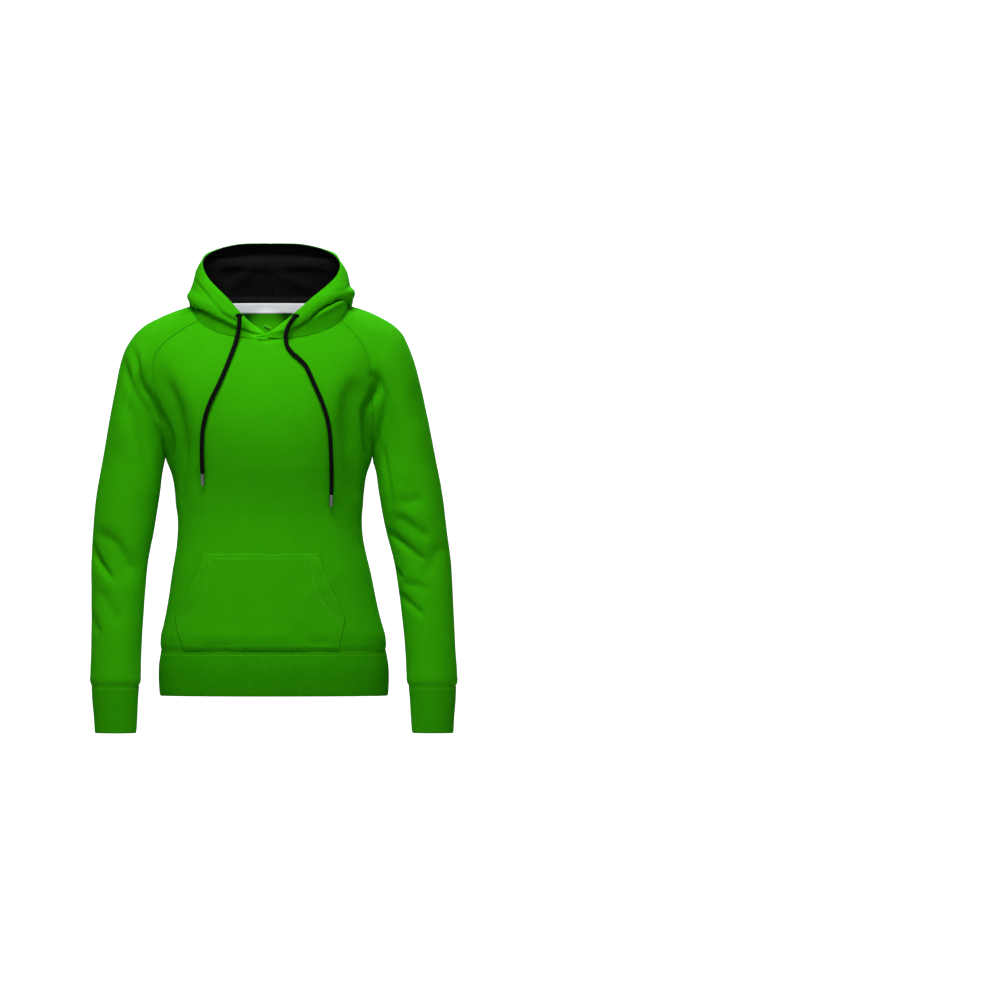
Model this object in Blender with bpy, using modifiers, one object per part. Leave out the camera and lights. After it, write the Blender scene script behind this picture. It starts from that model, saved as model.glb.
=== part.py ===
"""Pullover hoodie with raglan sleeves: the cloth of a garment in its worn shape, with no wearer in it.

Metres, +Z up, the garment faces -Y. The origin is the middle of the neck, level with the shoulders, where a
wearer holds the garment up. Left and right are the wearer's: left is +X.

The outer cloth is worked out as one skin of rings: yoke rounds from the neck to the underarm, torso rings
from there to the hem, sleeve rings to the cuffs, and the hood as profiles that start on the neckline. Each
sewn piece is then the part of that skin inside its seams, given the thickness of its cloth.
"""

import math
from collections import namedtuple

import bmesh
import bpy
import numpy as np
from mathutils import Vector
from mathutils.bvhtree import BVHTree
from mathutils.interpolate import poly_3d_calc

# ---------------------------------------------------------------- driving dimensions

FLEECE = 0.0022  # wall of the brushed fleece
RIB = 0.0034  # doubled rib of the hem band and the cuffs
LINING = 0.0014  # jersey of the hood lining
TAPE = 0.0010  # woven neck tape
SEAM_GAP = 0.0003  # clear space between two sewn pieces

UNDERARM_Z = -0.242
HEM_SEAM_Z = -0.548
HEM_Z = -0.623

TORSO_COLUMNS = 20  # across the front panel, and across the back panel
SLEEVE_COLUMNS = 20  # around a sleeve
YOKE_ROWS = 8  # from the neckline to the underarm
TORSO_ROWS = 14  # from the underarm to the hem seam
SLEEVE_ROWS = 16  # from the underarm to the cuff seam
BAND_ROWS = 3  # down the hem band and the cuffs
HOOD_ROWS = 17  # from the neckline to the hood's rim

ROUNDNESS = 0.88  # power of the torso's cosine: under 1 flattens the front and back
SHOULDER_SMOOTHING = 20  # passes that soften the crease between sleeve and body

# ---------------------------------------------------------------- section tables

# A yoke round: where the raglan seams, the shoulder line and the panel centres are, from the neckline (0)
# down to the underarm (1). depth is the sleeve's half depth there, skew how far the front seam lies left.
YokeRound = namedtuple(
    "YokeRound",
    "at front_x front_y front_z back_x back_y back_z top_x top_z depth centre_front_z centre_back_z skew",
)
YOKE = [
    YokeRound(0.0, 0.117, -0.046, -0.005, 0.100, 0.040, 0.016, 0.122, 0.021, 0.042, -0.036, 0.017, 0.000),
    YokeRound(0.2, 0.157, -0.060, -0.036, 0.150, 0.058, -0.014, 0.170, 0.004, 0.058, -0.062, -0.014, -0.007),
    YokeRound(0.4, 0.177, -0.064, -0.070, 0.176, 0.064, -0.052, 0.212, -0.020, 0.065, -0.094, -0.056, -0.010),
    YokeRound(0.6, 0.186, -0.058, -0.110, 0.184, 0.060, -0.098, 0.238, -0.064, 0.067, -0.132, -0.106, -0.010),
    YokeRound(0.8, 0.183, -0.036, -0.172, 0.181, 0.042, -0.166, 0.256, -0.140, 0.066, -0.184, -0.174, -0.005),
    YokeRound(1.0, 0.165, 0.004, -0.242, 0.165, 0.004, -0.242, 0.273, -0.230, 0.060, -0.242, -0.242, 0.000),
]

# A height on the torso's centre lines, and its half width from the underarm down.
TorsoRing = namedtuple("TorsoRing", "z half_width front_y back_y side_y")
TORSO = [
    TorsoRing(0.020, 0.165, -0.060, 0.052, 0.000),
    TorsoRing(-0.036, 0.165, -0.080, 0.078, 0.000),
    TorsoRing(-0.090, 0.165, -0.110, 0.096, 0.002),
    TorsoRing(-0.150, 0.165, -0.129, 0.105, 0.003),
    TorsoRing(-0.205, 0.165, -0.131, 0.105, 0.004),
    TorsoRing(-0.242, 0.1640, -0.125, 0.099, 0.004),
    TorsoRing(-0.266, 0.1590, -0.119, 0.094, 0.004),
    TorsoRing(-0.295, 0.1555, -0.112, 0.087, 0.003),
    TorsoRing(-0.330, 0.1512, -0.107, 0.083, 0.002),
    TorsoRing(-0.365, 0.1525, -0.107, 0.085, 0.001),
    TorsoRing(-0.420, 0.1627, -0.111, 0.095, 0.000),
    TorsoRing(-0.490, 0.1755, -0.118, 0.108, -0.002),
    TorsoRing(-0.530, 0.1850, -0.122, 0.115, -0.003),
    TorsoRing(-0.540, 0.1865, -0.122, 0.116, -0.003),
    TorsoRing(-0.548, 0.1835, -0.117, 0.111, -0.003),
]
HEM_BAND = [
    TorsoRing(-0.548, 0.1835, -0.117, 0.111, -0.003),
    TorsoRing(-0.560, 0.1860, -0.120, 0.114, -0.003),
    TorsoRing(-0.600, 0.1880, -0.120, 0.114, -0.003),
    TorsoRing(-0.623, 0.1865, -0.116, 0.110, -0.003),
]

# A sleeve ring: its point nearest the body, its outermost point, its middle in depth and its half depth.
# lean tips the ring's front up as the forearm comes forward, in degrees.
SleeveRing = namedtuple("SleeveRing", "inner_x inner_z outer_x outer_z middle_y depth lean")
SLEEVE = [
    SleeveRing(0.165, -0.242, 0.273, -0.230, 0.004, 0.060, 0),
    SleeveRing(0.1700, -0.266, 0.2780, -0.256, 0.003, 0.059, 0),
    SleeveRing(0.1825, -0.300, 0.2848, -0.295, 0.001, 0.056, 1),
    SleeveRing(0.1920, -0.350, 0.2905, -0.348, -0.003, 0.052, 2),
    SleeveRing(0.2035, -0.400, 0.2955, -0.400, -0.008, 0.049, 3),
    SleeveRing(0.2115, -0.465, 0.2972, -0.465, -0.015, 0.046, 4),
    SleeveRing(0.2175, -0.535, 0.2988, -0.535, -0.025, 0.044, 4),
    SleeveRing(0.2195, -0.585, 0.3008, -0.585, -0.032, 0.043, 3),
    SleeveRing(0.2192, -0.600, 0.3015, -0.600, -0.034, 0.043, 3),
    SleeveRing(0.2235, -0.607, 0.2985, -0.607, -0.035, 0.039, 3),
]
CUFF = [
    SleeveRing(0.2235, -0.607, 0.2985, -0.607, -0.035, 0.039, 3),
    SleeveRing(0.2250, -0.620, 0.2985, -0.620, -0.037, 0.039, 2),
    SleeveRing(0.2262, -0.650, 0.2955, -0.650, -0.042, 0.037, 1),
    SleeveRing(0.2285, -0.684, 0.2935, -0.684, -0.047, 0.036, 0),
]

# The garment leans a little to the wearer's right: how far each height moves along X.
Sway = namedtuple("Sway", "z shift")
SWAY = [
    Sway(0.15, -0.0065), Sway(0.02, -0.005), Sway(-0.05, -0.0105), Sway(-0.13, -0.009), Sway(-0.25, -0.0075),
    Sway(-0.33, -0.007), Sway(-0.42, -0.0040), Sway(-0.54, -0.0010), Sway(-0.70, 0.0005),
]

# The hood's lower part, by its place along the neckline (0 at the centre back, 14 at the centre front). From
# the neckline the cloth stands up by stand and out by out, comes down by drop (at the front it goes on up),
# and runs to the fold edge, whose roundness is lip. It comes to the edge from a point that is near above it.
HoodFall = namedtuple("HoodFall", "column stand out drop near fold_x fold_y fold_z lip")
HOOD_FALL = {
    "right": [
        HoodFall(0, 0.016, 0.010, 0.005, 0.010, 0.000, 0.110, -0.104, 0.010),
        HoodFall(2.5, 0.016, 0.010, 0.005, 0.010, 0.068, 0.104, -0.069, 0.009),
        HoodFall(4, 0.015, 0.010, 0.004, 0.008, 0.106, 0.087, -0.036, 0.007),
        HoodFall(5, 0.014, 0.009, 0.003, 0.007, 0.123, 0.066, -0.010, 0.006),
        HoodFall(6, 0.009, 0.007, 0.001, 0.003, 0.130, 0.040, 0.014, 0.005),
        HoodFall(7, 0.004, 0.003, -0.001, -0.001, 0.131, 0.010, 0.027, 0.004),
        HoodFall(8, 0.006, 0.001, -0.003, -0.003, 0.127, -0.022, 0.026, 0.003),
        HoodFall(9, 0.007, 0.001, -0.004, -0.003, 0.117, -0.046, 0.018, 0.003),
        HoodFall(11, 0.007, 0.001, -0.004, -0.003, 0.079, -0.072, -0.004, 0.002),
        HoodFall(12, 0.006, 0.001, -0.004, -0.003, 0.057, -0.078, -0.013, 0.001),
        HoodFall(13, 0.003, 0.000, -0.002, -0.002, 0.033, -0.080, -0.024, 0.000),
        HoodFall(14, 0.002, 0.000, -0.001, -0.001, 0.002, -0.080, -0.030, 0.000),
    ],
    "left": [
        HoodFall(0, 0.016, 0.010, 0.005, 0.010, 0.000, 0.110, -0.104, 0.010),
        HoodFall(2.5, 0.016, 0.010, 0.005, 0.010, 0.068, 0.104, -0.069, 0.009),
        HoodFall(4, 0.015, 0.010, 0.004, 0.008, 0.106, 0.087, -0.036, 0.007),
        HoodFall(5, 0.014, 0.009, 0.003, 0.007, 0.123, 0.066, -0.010, 0.006),
        HoodFall(6, 0.009, 0.007, 0.001, 0.003, 0.130, 0.040, 0.015, 0.005),
        HoodFall(7, 0.004, 0.003, -0.001, -0.001, 0.131, 0.010, 0.030, 0.004),
        HoodFall(8, 0.006, 0.001, -0.004, -0.003, 0.128, -0.022, 0.031, 0.003),
        HoodFall(9, 0.008, 0.001, -0.005, -0.003, 0.120, -0.045, 0.025, 0.003),
        HoodFall(11, 0.008, 0.001, -0.005, -0.003, 0.082, -0.072, 0.003, 0.002),
        HoodFall(12, 0.006, 0.001, -0.004, -0.003, 0.060, -0.079, -0.008, 0.001),
        HoodFall(13, 0.003, 0.000, -0.003, -0.002, 0.032, -0.082, -0.022, 0.000),
        HoodFall(14, 0.001, 0.000, -0.001, -0.001, 0.002, -0.083, -0.032, 0.000),
        HoodFall(15, 0.001, 0.000, -0.001, -0.001, -0.0185, -0.084, -0.0340, 0.000),
    ],
}

# The hood's edge: the crease under the casing, the rim, how far the cloth swells between fold and crease,
# and how far the casing rolls out.
HoodEdge = namedtuple("HoodEdge", "column crease_x crease_y crease_z rim_x rim_y rim_z swell roll")
HOOD_EDGE = {
    "right": [
        HoodEdge(0, 0.000, 0.103, 0.093, 0.000, 0.092, 0.125, 0.014, 0.010),
        HoodEdge(2.5, 0.058, 0.098, 0.091, 0.056, 0.086, 0.123, 0.013, 0.010),
        HoodEdge(5, 0.109, 0.062, 0.081, 0.101, 0.050, 0.108, 0.010, 0.009),
        HoodEdge(7, 0.124, 0.008, 0.062, 0.113, -0.002, 0.091, 0.006, 0.008),
        HoodEdge(9, 0.112, -0.044, 0.040, 0.103, -0.038, 0.064, 0.004, 0.005),
        HoodEdge(11, 0.078, -0.073, 0.013, 0.072, -0.068, 0.032, 0.001, 0.003),
        HoodEdge(12, 0.057, -0.079, 0.000, 0.054, -0.076, 0.013, 0.000, 0.002),
        HoodEdge(13, 0.034, -0.080, -0.016, 0.035, -0.079, -0.006, 0.000, 0.000),
        HoodEdge(14, 0.005, -0.080, -0.028, 0.008, -0.080, -0.025, 0.000, 0.000),
    ],
    "left": [
        HoodEdge(0, 0.000, 0.103, 0.093, 0.000, 0.092, 0.125, 0.014, 0.010),
        HoodEdge(2.5, 0.058, 0.098, 0.091, 0.056, 0.086, 0.123, 0.013, 0.010),
        HoodEdge(5, 0.109, 0.062, 0.081, 0.101, 0.050, 0.108, 0.010, 0.009),
        HoodEdge(7, 0.125, 0.008, 0.062, 0.114, -0.002, 0.089, 0.004, 0.008),
        HoodEdge(9, 0.115, -0.044, 0.042, 0.104, -0.038, 0.065, 0.002, 0.005),
        HoodEdge(11, 0.079, -0.073, 0.014, 0.070, -0.068, 0.035, 0.001, 0.003),
        HoodEdge(12, 0.058, -0.080, 0.001, 0.050, -0.077, 0.017, 0.000, 0.002),
        HoodEdge(13, 0.030, -0.083, -0.016, 0.026, -0.082, -0.005, 0.000, 0.000),
        HoodEdge(14, 0.002, -0.084, -0.028, 0.003, -0.084, -0.024, 0.000, 0.000),
        HoodEdge(15, -0.016, -0.084, -0.0325, -0.013, -0.084, -0.0315, 0.000, 0.000),
    ],
}
NECK_PER_BACK = 5  # hood columns from the centre back to the back raglan seam
NECK_PER_SLEEVE = 4  # hood columns along a sleeve's neck edge
NECK_PER_FRONT = 5  # hood columns from the front raglan seam to the centre front
LINING_START = 0.72  # where the lining starts between the neck seam and the first row above it
LINED_COLUMNS = 14  # hood columns that the lining covers, from the centre back
LEFT_LAPS_FROM = 13  # the left hood edge leaves the neckline at this column and laps over the right one
FRONT_SMOOTHING = 4  # passes that even out the hood's front profiles
LAP_REACH = 0.72  # how far past the centre front the left edge reaches, in hood columns
LAP_LIFT = FLEECE + SEAM_GAP + 0.0005

# A fold in the outer cloth, seen from the front or from the back: a line from one point to another, its half
# width, and its height (a trough is negative). panels are the pieces that it runs over.
Fold = namedtuple("Fold", "panels side x0 z0 x1 z1 half_width height")
FOLDS = [
    Fold("back", 1, 0.150, -0.270, 0.030, -0.500, 0.026, -0.010),
    Fold("back", 1, 0.100, -0.270, -0.010, -0.460, 0.030, 0.005),
    Fold("back", 1, 0.120, -0.165, 0.080, -0.270, 0.030, -0.005),
    Fold("back", 1, -0.125, -0.170, -0.110, -0.300, 0.030, -0.005),
    Fold("front", -1, 0.150, -0.110, 0.125, -0.230, 0.028, -0.007),
    Fold("front", -1, -0.160, -0.150, -0.120, -0.290, 0.028, -0.005),
    Fold("sleeve_right", -1, -0.248, -0.070, -0.195, -0.190, 0.026, -0.008),
    Fold("sleeve_right", -1, -0.298, -0.365, -0.235, -0.430, 0.024, -0.007),
    Fold("sleeve_right", 1, -0.240, -0.070, -0.200, -0.200, 0.026, -0.007),
    Fold("sleeve_right", 1, -0.200, -0.260, -0.262, -0.340, 0.024, -0.006),
    Fold("sleeve_left", -1, 0.200, -0.160, 0.240, -0.310, 0.026, -0.006),
    Fold("sleeve_left", -1, 0.196, -0.340, 0.280, -0.430, 0.024, -0.007),
    Fold("sleeve_left", 1, 0.225, -0.070, 0.200, -0.200, 0.026, -0.007),
    Fold("sleeve_left", 1, 0.195, -0.240, 0.255, -0.330, 0.024, -0.006),
]

# A fold in the hood, seen from behind, as above.
HoodFold = namedtuple("HoodFold", "x0 z0 x1 z1 half_width height")
HOOD_FOLDS = [
    HoodFold(0.136, 0.062, 0.066, -0.022, 0.016, -0.006),
    HoodFold(-0.112, 0.074, -0.050, -0.012, 0.020, -0.007),
]

# The kangaroo pocket, seen from the front: its half width at each height.
PocketEdge = namedtuple("PocketEdge", "z half_width")
POCKET = [
    PocketEdge(-0.388, 0.0935),
    PocketEdge(-0.396, 0.0975),
    PocketEdge(-0.488, 0.1385),
    PocketEdge(-0.497, 0.1405),
    PocketEdge(-0.544, 0.1285),
]
POCKET_X = -0.021

TAPE_UP = 0.008  # how far the neck tape reaches above the neck seam
TAPE_DOWN = 0.009

# Drawcords: points down each free end, from its eyelet to the metal tip, seen from the front.
CORD_D = 0.0070
CORD_TIP = 0.020
CordPoint = namedtuple("CordPoint", "x z")
CORDS = {
    "right": [
        CordPoint(-0.0511, 0.0056), CordPoint(-0.0499, -0.0066), CordPoint(-0.0499, -0.0215),
        CordPoint(-0.0525, -0.0379), CordPoint(-0.0568, -0.0530), CordPoint(-0.0675, -0.0809),
        CordPoint(-0.0802, -0.1086), CordPoint(-0.0932, -0.1340), CordPoint(-0.1031, -0.1596),
        CordPoint(-0.1092, -0.1873), CordPoint(-0.1107, -0.2152), CordPoint(-0.1106, -0.2429),
        CordPoint(-0.1102, -0.2567),
    ],
    "left": [
        CordPoint(0.0433, 0.0046), CordPoint(0.0358, -0.0059), CordPoint(0.0302, -0.0190),
        CordPoint(0.0286, -0.0330), CordPoint(0.0318, -0.0465), CordPoint(0.0400, -0.0580),
        CordPoint(0.0507, -0.0672), CordPoint(0.0612, -0.0780), CordPoint(0.0684, -0.0920),
        CordPoint(0.0762, -0.1115), CordPoint(0.0852, -0.1330), CordPoint(0.0922, -0.1530),
        CordPoint(0.0975, -0.1740), CordPoint(0.1002, -0.1965), CordPoint(0.1013, -0.2244),
        CordPoint(0.1020, -0.2521), CordPoint(0.1019, -0.2775), CordPoint(0.1015, -0.2914),
    ],
}

MATERIALS = {  # colour, roughness, metallic
    "green_fleece": ((0.036, 0.330, 0.007), 0.9, 0.0),
    "green_rib": ((0.030, 0.280, 0.006), 0.9, 0.0),
    "black_jersey": ((0.010, 0.010, 0.011), 0.9, 0.0),
    "white_tape": ((0.80, 0.80, 0.80), 0.8, 0.0),
    "black_cord": ((0.008, 0.008, 0.008), 0.8, 0.0),
    "metal_tip": ((0.45, 0.45, 0.44), 0.35, 1.0),
}

# ---------------------------------------------------------------- small helpers


def column(rows, name):
    return np.array([getattr(row, name) for row in rows], float)


def smooth_curve(keys, values, at):
    """The smooth curve through (keys, values), read at the places in at. Keys rise; it is flat past them."""
    keys = np.asarray(keys, float)
    values = np.asarray(values, float)
    at = np.clip(np.asarray(at, float), keys[0], keys[-1])
    slopes = np.gradient(values, keys, axis=0)
    i = np.clip(np.searchsorted(keys, at, side="right") - 1, 0, len(keys) - 2)
    span = keys[i + 1] - keys[i]
    t = (at - keys[i]) / span
    if values.ndim > 1:
        t = t[..., None]
        span = span[..., None]
    start = (2 * t**3 - 3 * t**2 + 1) * values[i] + (t**3 - 2 * t**2 + t) * span * slopes[i]
    end = (3 * t**2 - 2 * t**3) * values[i + 1] + (t**3 - t**2) * span * slopes[i + 1]
    return start + end


def read(rows, key, name, at, falling=False):
    """Column name of a table at the places at, where the column key rises, or falls if falling."""
    sign = -1 if falling else 1
    return smooth_curve(sign * column(rows, key), column(rows, name), sign * np.asarray(at, float))


def unit(vectors):
    return vectors / np.maximum(np.linalg.norm(vectors, axis=-1, keepdims=True), 1e-12)


def even_rows(start, end, rows):
    return np.linspace(start, end, rows + 1)


# ---------------------------------------------------------------- body and sleeve rings


def torso_arc(across, half_width, side_y, centre_y, widest=math.pi / 2):
    """x and y over half a torso ring, for across from -1 to 1. widest is the angle at the arc's ends."""
    angle = np.asarray(across) * widest
    x = half_width * np.sin(angle) / math.sin(widest)
    y = side_y + (centre_y - side_y) * np.cos(angle).clip(0) ** ROUNDNESS
    return x, y


def yoke_panel(side):
    """Rows of the front (side -1) or back (side 1) panel, neckline to underarm, each right to left."""
    name = "front" if side < 0 else "back"
    rows = []
    across = np.linspace(-1, 1, TORSO_COLUMNS + 1)
    for at in even_rows(0, 1, YOKE_ROWS):
        wanted = (f"{name}_x", f"{name}_y", f"{name}_z", f"centre_{name}_z")
        seam_x, seam_y, seam_z, centre_z = (float(read(YOKE, "at", key, at)) for key in wanted)
        centre_y = float(read(TORSO, "z", f"{name}_y", centre_z, falling=True))
        side_y = float(read(TORSO, "z", "side_y", centre_z, falling=True))
        share = np.clip((seam_y - side_y) / (centre_y - side_y), 0, 1)
        widest = math.acos(share ** (1 / ROUNDNESS))
        x, y = torso_arc(across, seam_x, side_y, centre_y, widest)
        z = centre_z + (seam_z - centre_z) * np.abs(across) ** 2.2
        skew = float(read(YOKE, "at", "skew", at)) if side < 0 else 0.0
        rows.append(np.stack([x + skew * across**2, y, z], 1))
    return np.array(rows)


def torso_panel(side, table, start_z, end_z, rows):
    """Rows of a torso panel between two heights, right to left."""
    name = "front_y" if side < 0 else "back_y"
    across = np.linspace(-1, 1, TORSO_COLUMNS + 1)
    made = []
    for z in even_rows(start_z, end_z, rows):
        half_width, centre_y, side_y = (
            float(read(table, "z", key, z, falling=True)) for key in ("half_width", name, "side_y")
        )
        x, y = torso_arc(across, half_width, side_y, centre_y)
        made.append(np.stack([x, y, np.full_like(x, z)], 1))
    return np.array(made)


def yoke_sleeve(side):
    """Rows of a left sleeve from the neck to the underarm: each from the front raglan seam to the back."""
    rows = []
    for at in even_rows(0, 1, YOKE_ROWS):
        value = {name: float(read(YOKE, "at", name, at)) for name in YokeRound._fields}
        skew = value["skew"] if side == "left" else -value["skew"]
        front = np.array([value["front_x"] + skew, value["front_y"], value["front_z"]])
        back = np.array([value["back_x"], value["back_y"], value["back_z"]])
        depth = value["depth"]
        middle = (front + back) / 2
        half = np.linalg.norm(front - back) / 2
        forward = unit(front - back) if half > 0.002 else np.array([0.0, -1.0, 0.0])
        reach = np.array([value["top_x"], middle[1], value["top_z"]]) - middle
        half = min(half, depth)
        last = math.pi - math.asin(half / depth)
        radius = np.linalg.norm(reach) / (1 - math.cos(last))
        centre = middle + unit(reach) * (np.linalg.norm(reach) - radius)
        angle = np.linspace(last, -last, SLEEVE_COLUMNS + 1)[:, None]
        ring = centre + radius * np.cos(angle) * unit(reach) + depth * np.sin(angle) * forward
        ring[0] = front
        ring[-1] = back
        rows.append(ring)
    return np.array(rows)


def sleeve_rings(table, rows):
    """Closed rings of the left sleeve through a table, each from the underarm line round the front to it."""
    keys = np.arange(len(table), dtype=float)
    heights = -column(table, "inner_z")
    wanted = np.concatenate([np.linspace(heights[0], heights[-1], rows + 1)[:-1], heights[-1:]])
    at = np.interp(wanted, heights, keys)
    angle = np.linspace(math.pi, -math.pi, SLEEVE_COLUMNS + 1)[:, None]
    made = []
    for place in at:
        value = {name: float(smooth_curve(keys, column(table, name), place)) for name in SleeveRing._fields}
        inner = np.array([value["inner_x"], value["middle_y"], value["inner_z"]])
        outer = np.array([value["outer_x"], value["middle_y"], value["outer_z"]])
        lean = math.radians(value["lean"])
        forward = np.array([0.0, -math.cos(lean), math.sin(lean)])
        half = (outer - inner) / 2
        made.append((inner + outer) / 2 + np.cos(angle) * half + value["depth"] * np.sin(angle) * forward)
        made[-1][-1] = made[-1][0]
    return np.array(made)


def mirrored(grid):
    """The other side's grid: x turned round, and each row reversed so that its faces still point out."""
    return grid[:, ::-1] * np.array([-1.0, 1.0, 1.0])


# ---------------------------------------------------------------- the hood


def neckline(front, back, sleeve):
    """Half of the neckline, from centre back round the left shoulder to the centre front, as hood columns."""
    middle = TORSO_COLUMNS // 2
    per_back = middle // NECK_PER_BACK
    per_sleeve = SLEEVE_COLUMNS // NECK_PER_SLEEVE
    per_front = middle // NECK_PER_FRONT
    points = [back[0, middle + per_back * i] for i in range(NECK_PER_BACK + 1)]
    points += [sleeve[0, SLEEVE_COLUMNS - per_sleeve * i] for i in range(1, NECK_PER_SLEEVE + 1)]
    points += [front[0, TORSO_COLUMNS - per_front * i] for i in range(1, NECK_PER_FRONT + 1)]
    return np.array(points)


def straighten(row, step):
    """Moves the points between the hood's columns onto the straight line between them."""
    share = (np.arange(len(row)) % step)[:, None] / step
    first = np.arange(len(row)) // step * step
    last = np.minimum(first + step, len(row) - 1)
    return row[first] * (1 - share) + row[last] * share


def hood_controls(side, place, start, outward):
    """Control points of one hood profile on the left, from the neckline to the rim."""
    fall = {name: float(read(HOOD_FALL[side], "column", name, place)) for name in HoodFall._fields}
    edge = {name: float(read(HOOD_EDGE[side], "column", name, place)) for name in HoodEdge._fields}
    fold = np.array([fall["fold_x"], fall["fold_y"], fall["fold_z"]])
    crease = np.array([edge["crease_x"], edge["crease_y"], edge["crease_z"]])
    rim = np.array([edge["rim_x"], edge["rim_y"], edge["rim_z"]])
    up = np.array([0.0, 0.0, 1.0])
    stand, out, lip = fall["stand"], fall["out"], fall["lip"]
    over_stand = start + up * (stand - fall["drop"]) + outward * out
    return np.array(
        [
            start,
            start + up * stand * 0.65,
            start + up * stand + outward * out * 0.5,
            over_stand,
            over_stand * 0.45 + fold * 0.55,
            fold + up * fall["near"] - outward * lip * 0.5,
            fold,
            fold + up * lip * 0.6 + outward * lip * 1.0,
            fold * 0.7 + crease * 0.3 + outward * (edge["swell"] * 0.9 + lip * 0.7),
            fold * 0.3 + crease * 0.7 + outward * edge["swell"] * 0.8,
            crease,
            crease * 0.6 + rim * 0.4 + unit(outward + up * 0.2) * edge["roll"],
            rim * 0.75 + crease * 0.25 + unit(outward + up * 0.6) * edge["roll"] * 0.9,
            rim,
        ]
    )


def hood_half(side, neck, body):
    """Profiles of one hood half, on the left, from centre back to front. body is a tree of the skin."""
    share = np.array([0, 0.06, 0.12, 0.18, 0.28, 0.37, 0.43, 0.49, 0.60, 0.72, 0.81, 0.88, 0.95, 1.0])
    lapped = neck[-1] * (1 - LAP_REACH) + neck[-2] * LAP_REACH
    beyond = np.array([lapped, neck[-2]]) * np.array([-1, 1, 1])
    ring = np.concatenate([neck[1:2] * np.array([-1, 1, 1]), neck, beyond])
    rows = []
    for place in range(int(HOOD_FALL[side][-1].column) + 1):
        along = ring[place + 2] - ring[place]
        outward = unit(np.array([-along[1], along[0], 0.0]))
        controls = hood_controls(side, place, ring[place + 1], outward)
        if place >= len(neck) - 1:
            controls = controls[0] + share[:, None] * (controls[-1] - controls[0])
        rows.append(smooth_curve(share, controls, np.linspace(0, 1, HOOD_ROWS + 1)))
    grid = np.array(rows).transpose(1, 0, 2)
    front = slice(NECK_PER_BACK + 1, None)
    for _ in range(FRONT_SMOOTHING):
        grid[1:-1, front] = (grid[:-2, front] + 2 * grid[1:-1, front] + grid[2:, front]) / 4
    behind = slice(0, NECK_PER_BACK + NECK_PER_SLEEVE)
    grid[:, behind] = rest_on(grid[:, behind], body, FLEECE + SEAM_GAP + 0.0010)
    return lap_over(grid) if side == "left" else grid


def lap_over(grid):
    """Lifts the left hood's front end off the right one, and its lower edge off the front panel."""
    lifted = grid.copy()
    for place in range(LEFT_LAPS_FROM + 1, grid.shape[1]):
        lifted[:, place, 1] -= LAP_LIFT * 1.6
        lifted[:, place, 2] += 0.0035 * np.linspace(1, 0, grid.shape[0])
    return lifted


def rest_on(grid, tree, clearance):
    """Moves the grid's points that are nearer the body than clearance out to it. The first row is sewn on."""
    moved = grid.copy()
    for i in range(1, grid.shape[0]):
        for j in range(grid.shape[1]):
            point = Vector(moved[i, j])
            foot, normal, _, distance = tree.find_nearest(point)
            height = (point - foot).dot(normal)
            beside = distance > 0.001 and abs(height) < 0.93 * distance
            if not beside and distance < 0.05 and height < clearance:
                moved[i, j] = np.array(point + normal * (clearance - height))
    return moved


# ---------------------------------------------------------------- one skin from the grids


class Skin:
    """The welded mid-surface of all the outer cloth, with the piece that owns each face."""

    def __init__(self):
        self.grids = []
        self.names = []

    def add(self, name, grid):
        self.names.append(name)
        self.grids.append(grid)
        return len(self.grids) - 1

    def weld(self):
        points = np.concatenate([grid.reshape(-1, 3) for grid in self.grids])
        _, first, self.index = np.unique(np.round(points, 7), axis=0, return_index=True, return_inverse=True)
        self.points = points[first]
        self.index = self.index.ravel()
        self.maps = []
        self.quads = []
        self.owner = []
        start = 0
        for name, grid in zip(self.names, self.grids):
            size = grid.shape[0] * grid.shape[1]
            ids = self.index[start : start + size].reshape(grid.shape[:2])
            start += size
            self.maps.append(ids)
            quads = np.stack([ids[:-1, :-1], ids[1:, :-1], ids[1:, 1:], ids[:-1, 1:]], -1).reshape(-1, 4)
            self.quads.append(quads)
            self.owner += [name] * len(quads)
        self.quads = np.concatenate(self.quads)
        self.owner = np.array(self.owner)

    def smooth(self, weight, passes):
        """Moves points towards the mean of their neighbours, by weight from 0 to 1."""
        a = self.quads.ravel()
        b = np.roll(self.quads, -1, axis=1).ravel()
        for _ in range(passes):
            total = np.zeros_like(self.points)
            count = np.zeros(len(self.points))
            for one, other in ((a, b), (b, a)):
                np.add.at(total, one, self.points[other])
                np.add.at(count, one, 1)
            mean = total / np.maximum(count, 1)[:, None]
            self.points += (mean - self.points) * weight[:, None] * 0.5

    def normals(self):
        corners = self.points[self.quads]
        face = np.cross(corners[:, 2] - corners[:, 0], corners[:, 3] - corners[:, 1])
        total = np.zeros_like(self.points)
        for corner in range(4):
            np.add.at(total, self.quads[:, corner], face)
        return unit(total)

    def mitres(self, normals):
        """How much further than the wall each point's offset goes, so that walls keep their thickness."""
        corners = self.points[self.quads]
        face = unit(np.cross(corners[:, 2] - corners[:, 0], corners[:, 3] - corners[:, 1]))
        lean = np.full(len(self.points), 0.0)
        count = np.zeros(len(self.points))
        for corner in range(4):
            ids = self.quads[:, corner]
            np.add.at(lean, ids, np.einsum("ij,ij->i", face, normals[ids]))
            np.add.at(count, ids, 1)
        return 1 / np.clip(lean / np.maximum(count, 1), 0.6, 1)

    def tree(self):
        return BVHTree.FromPolygons([Vector(p) for p in self.points], self.quads.tolist())


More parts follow.
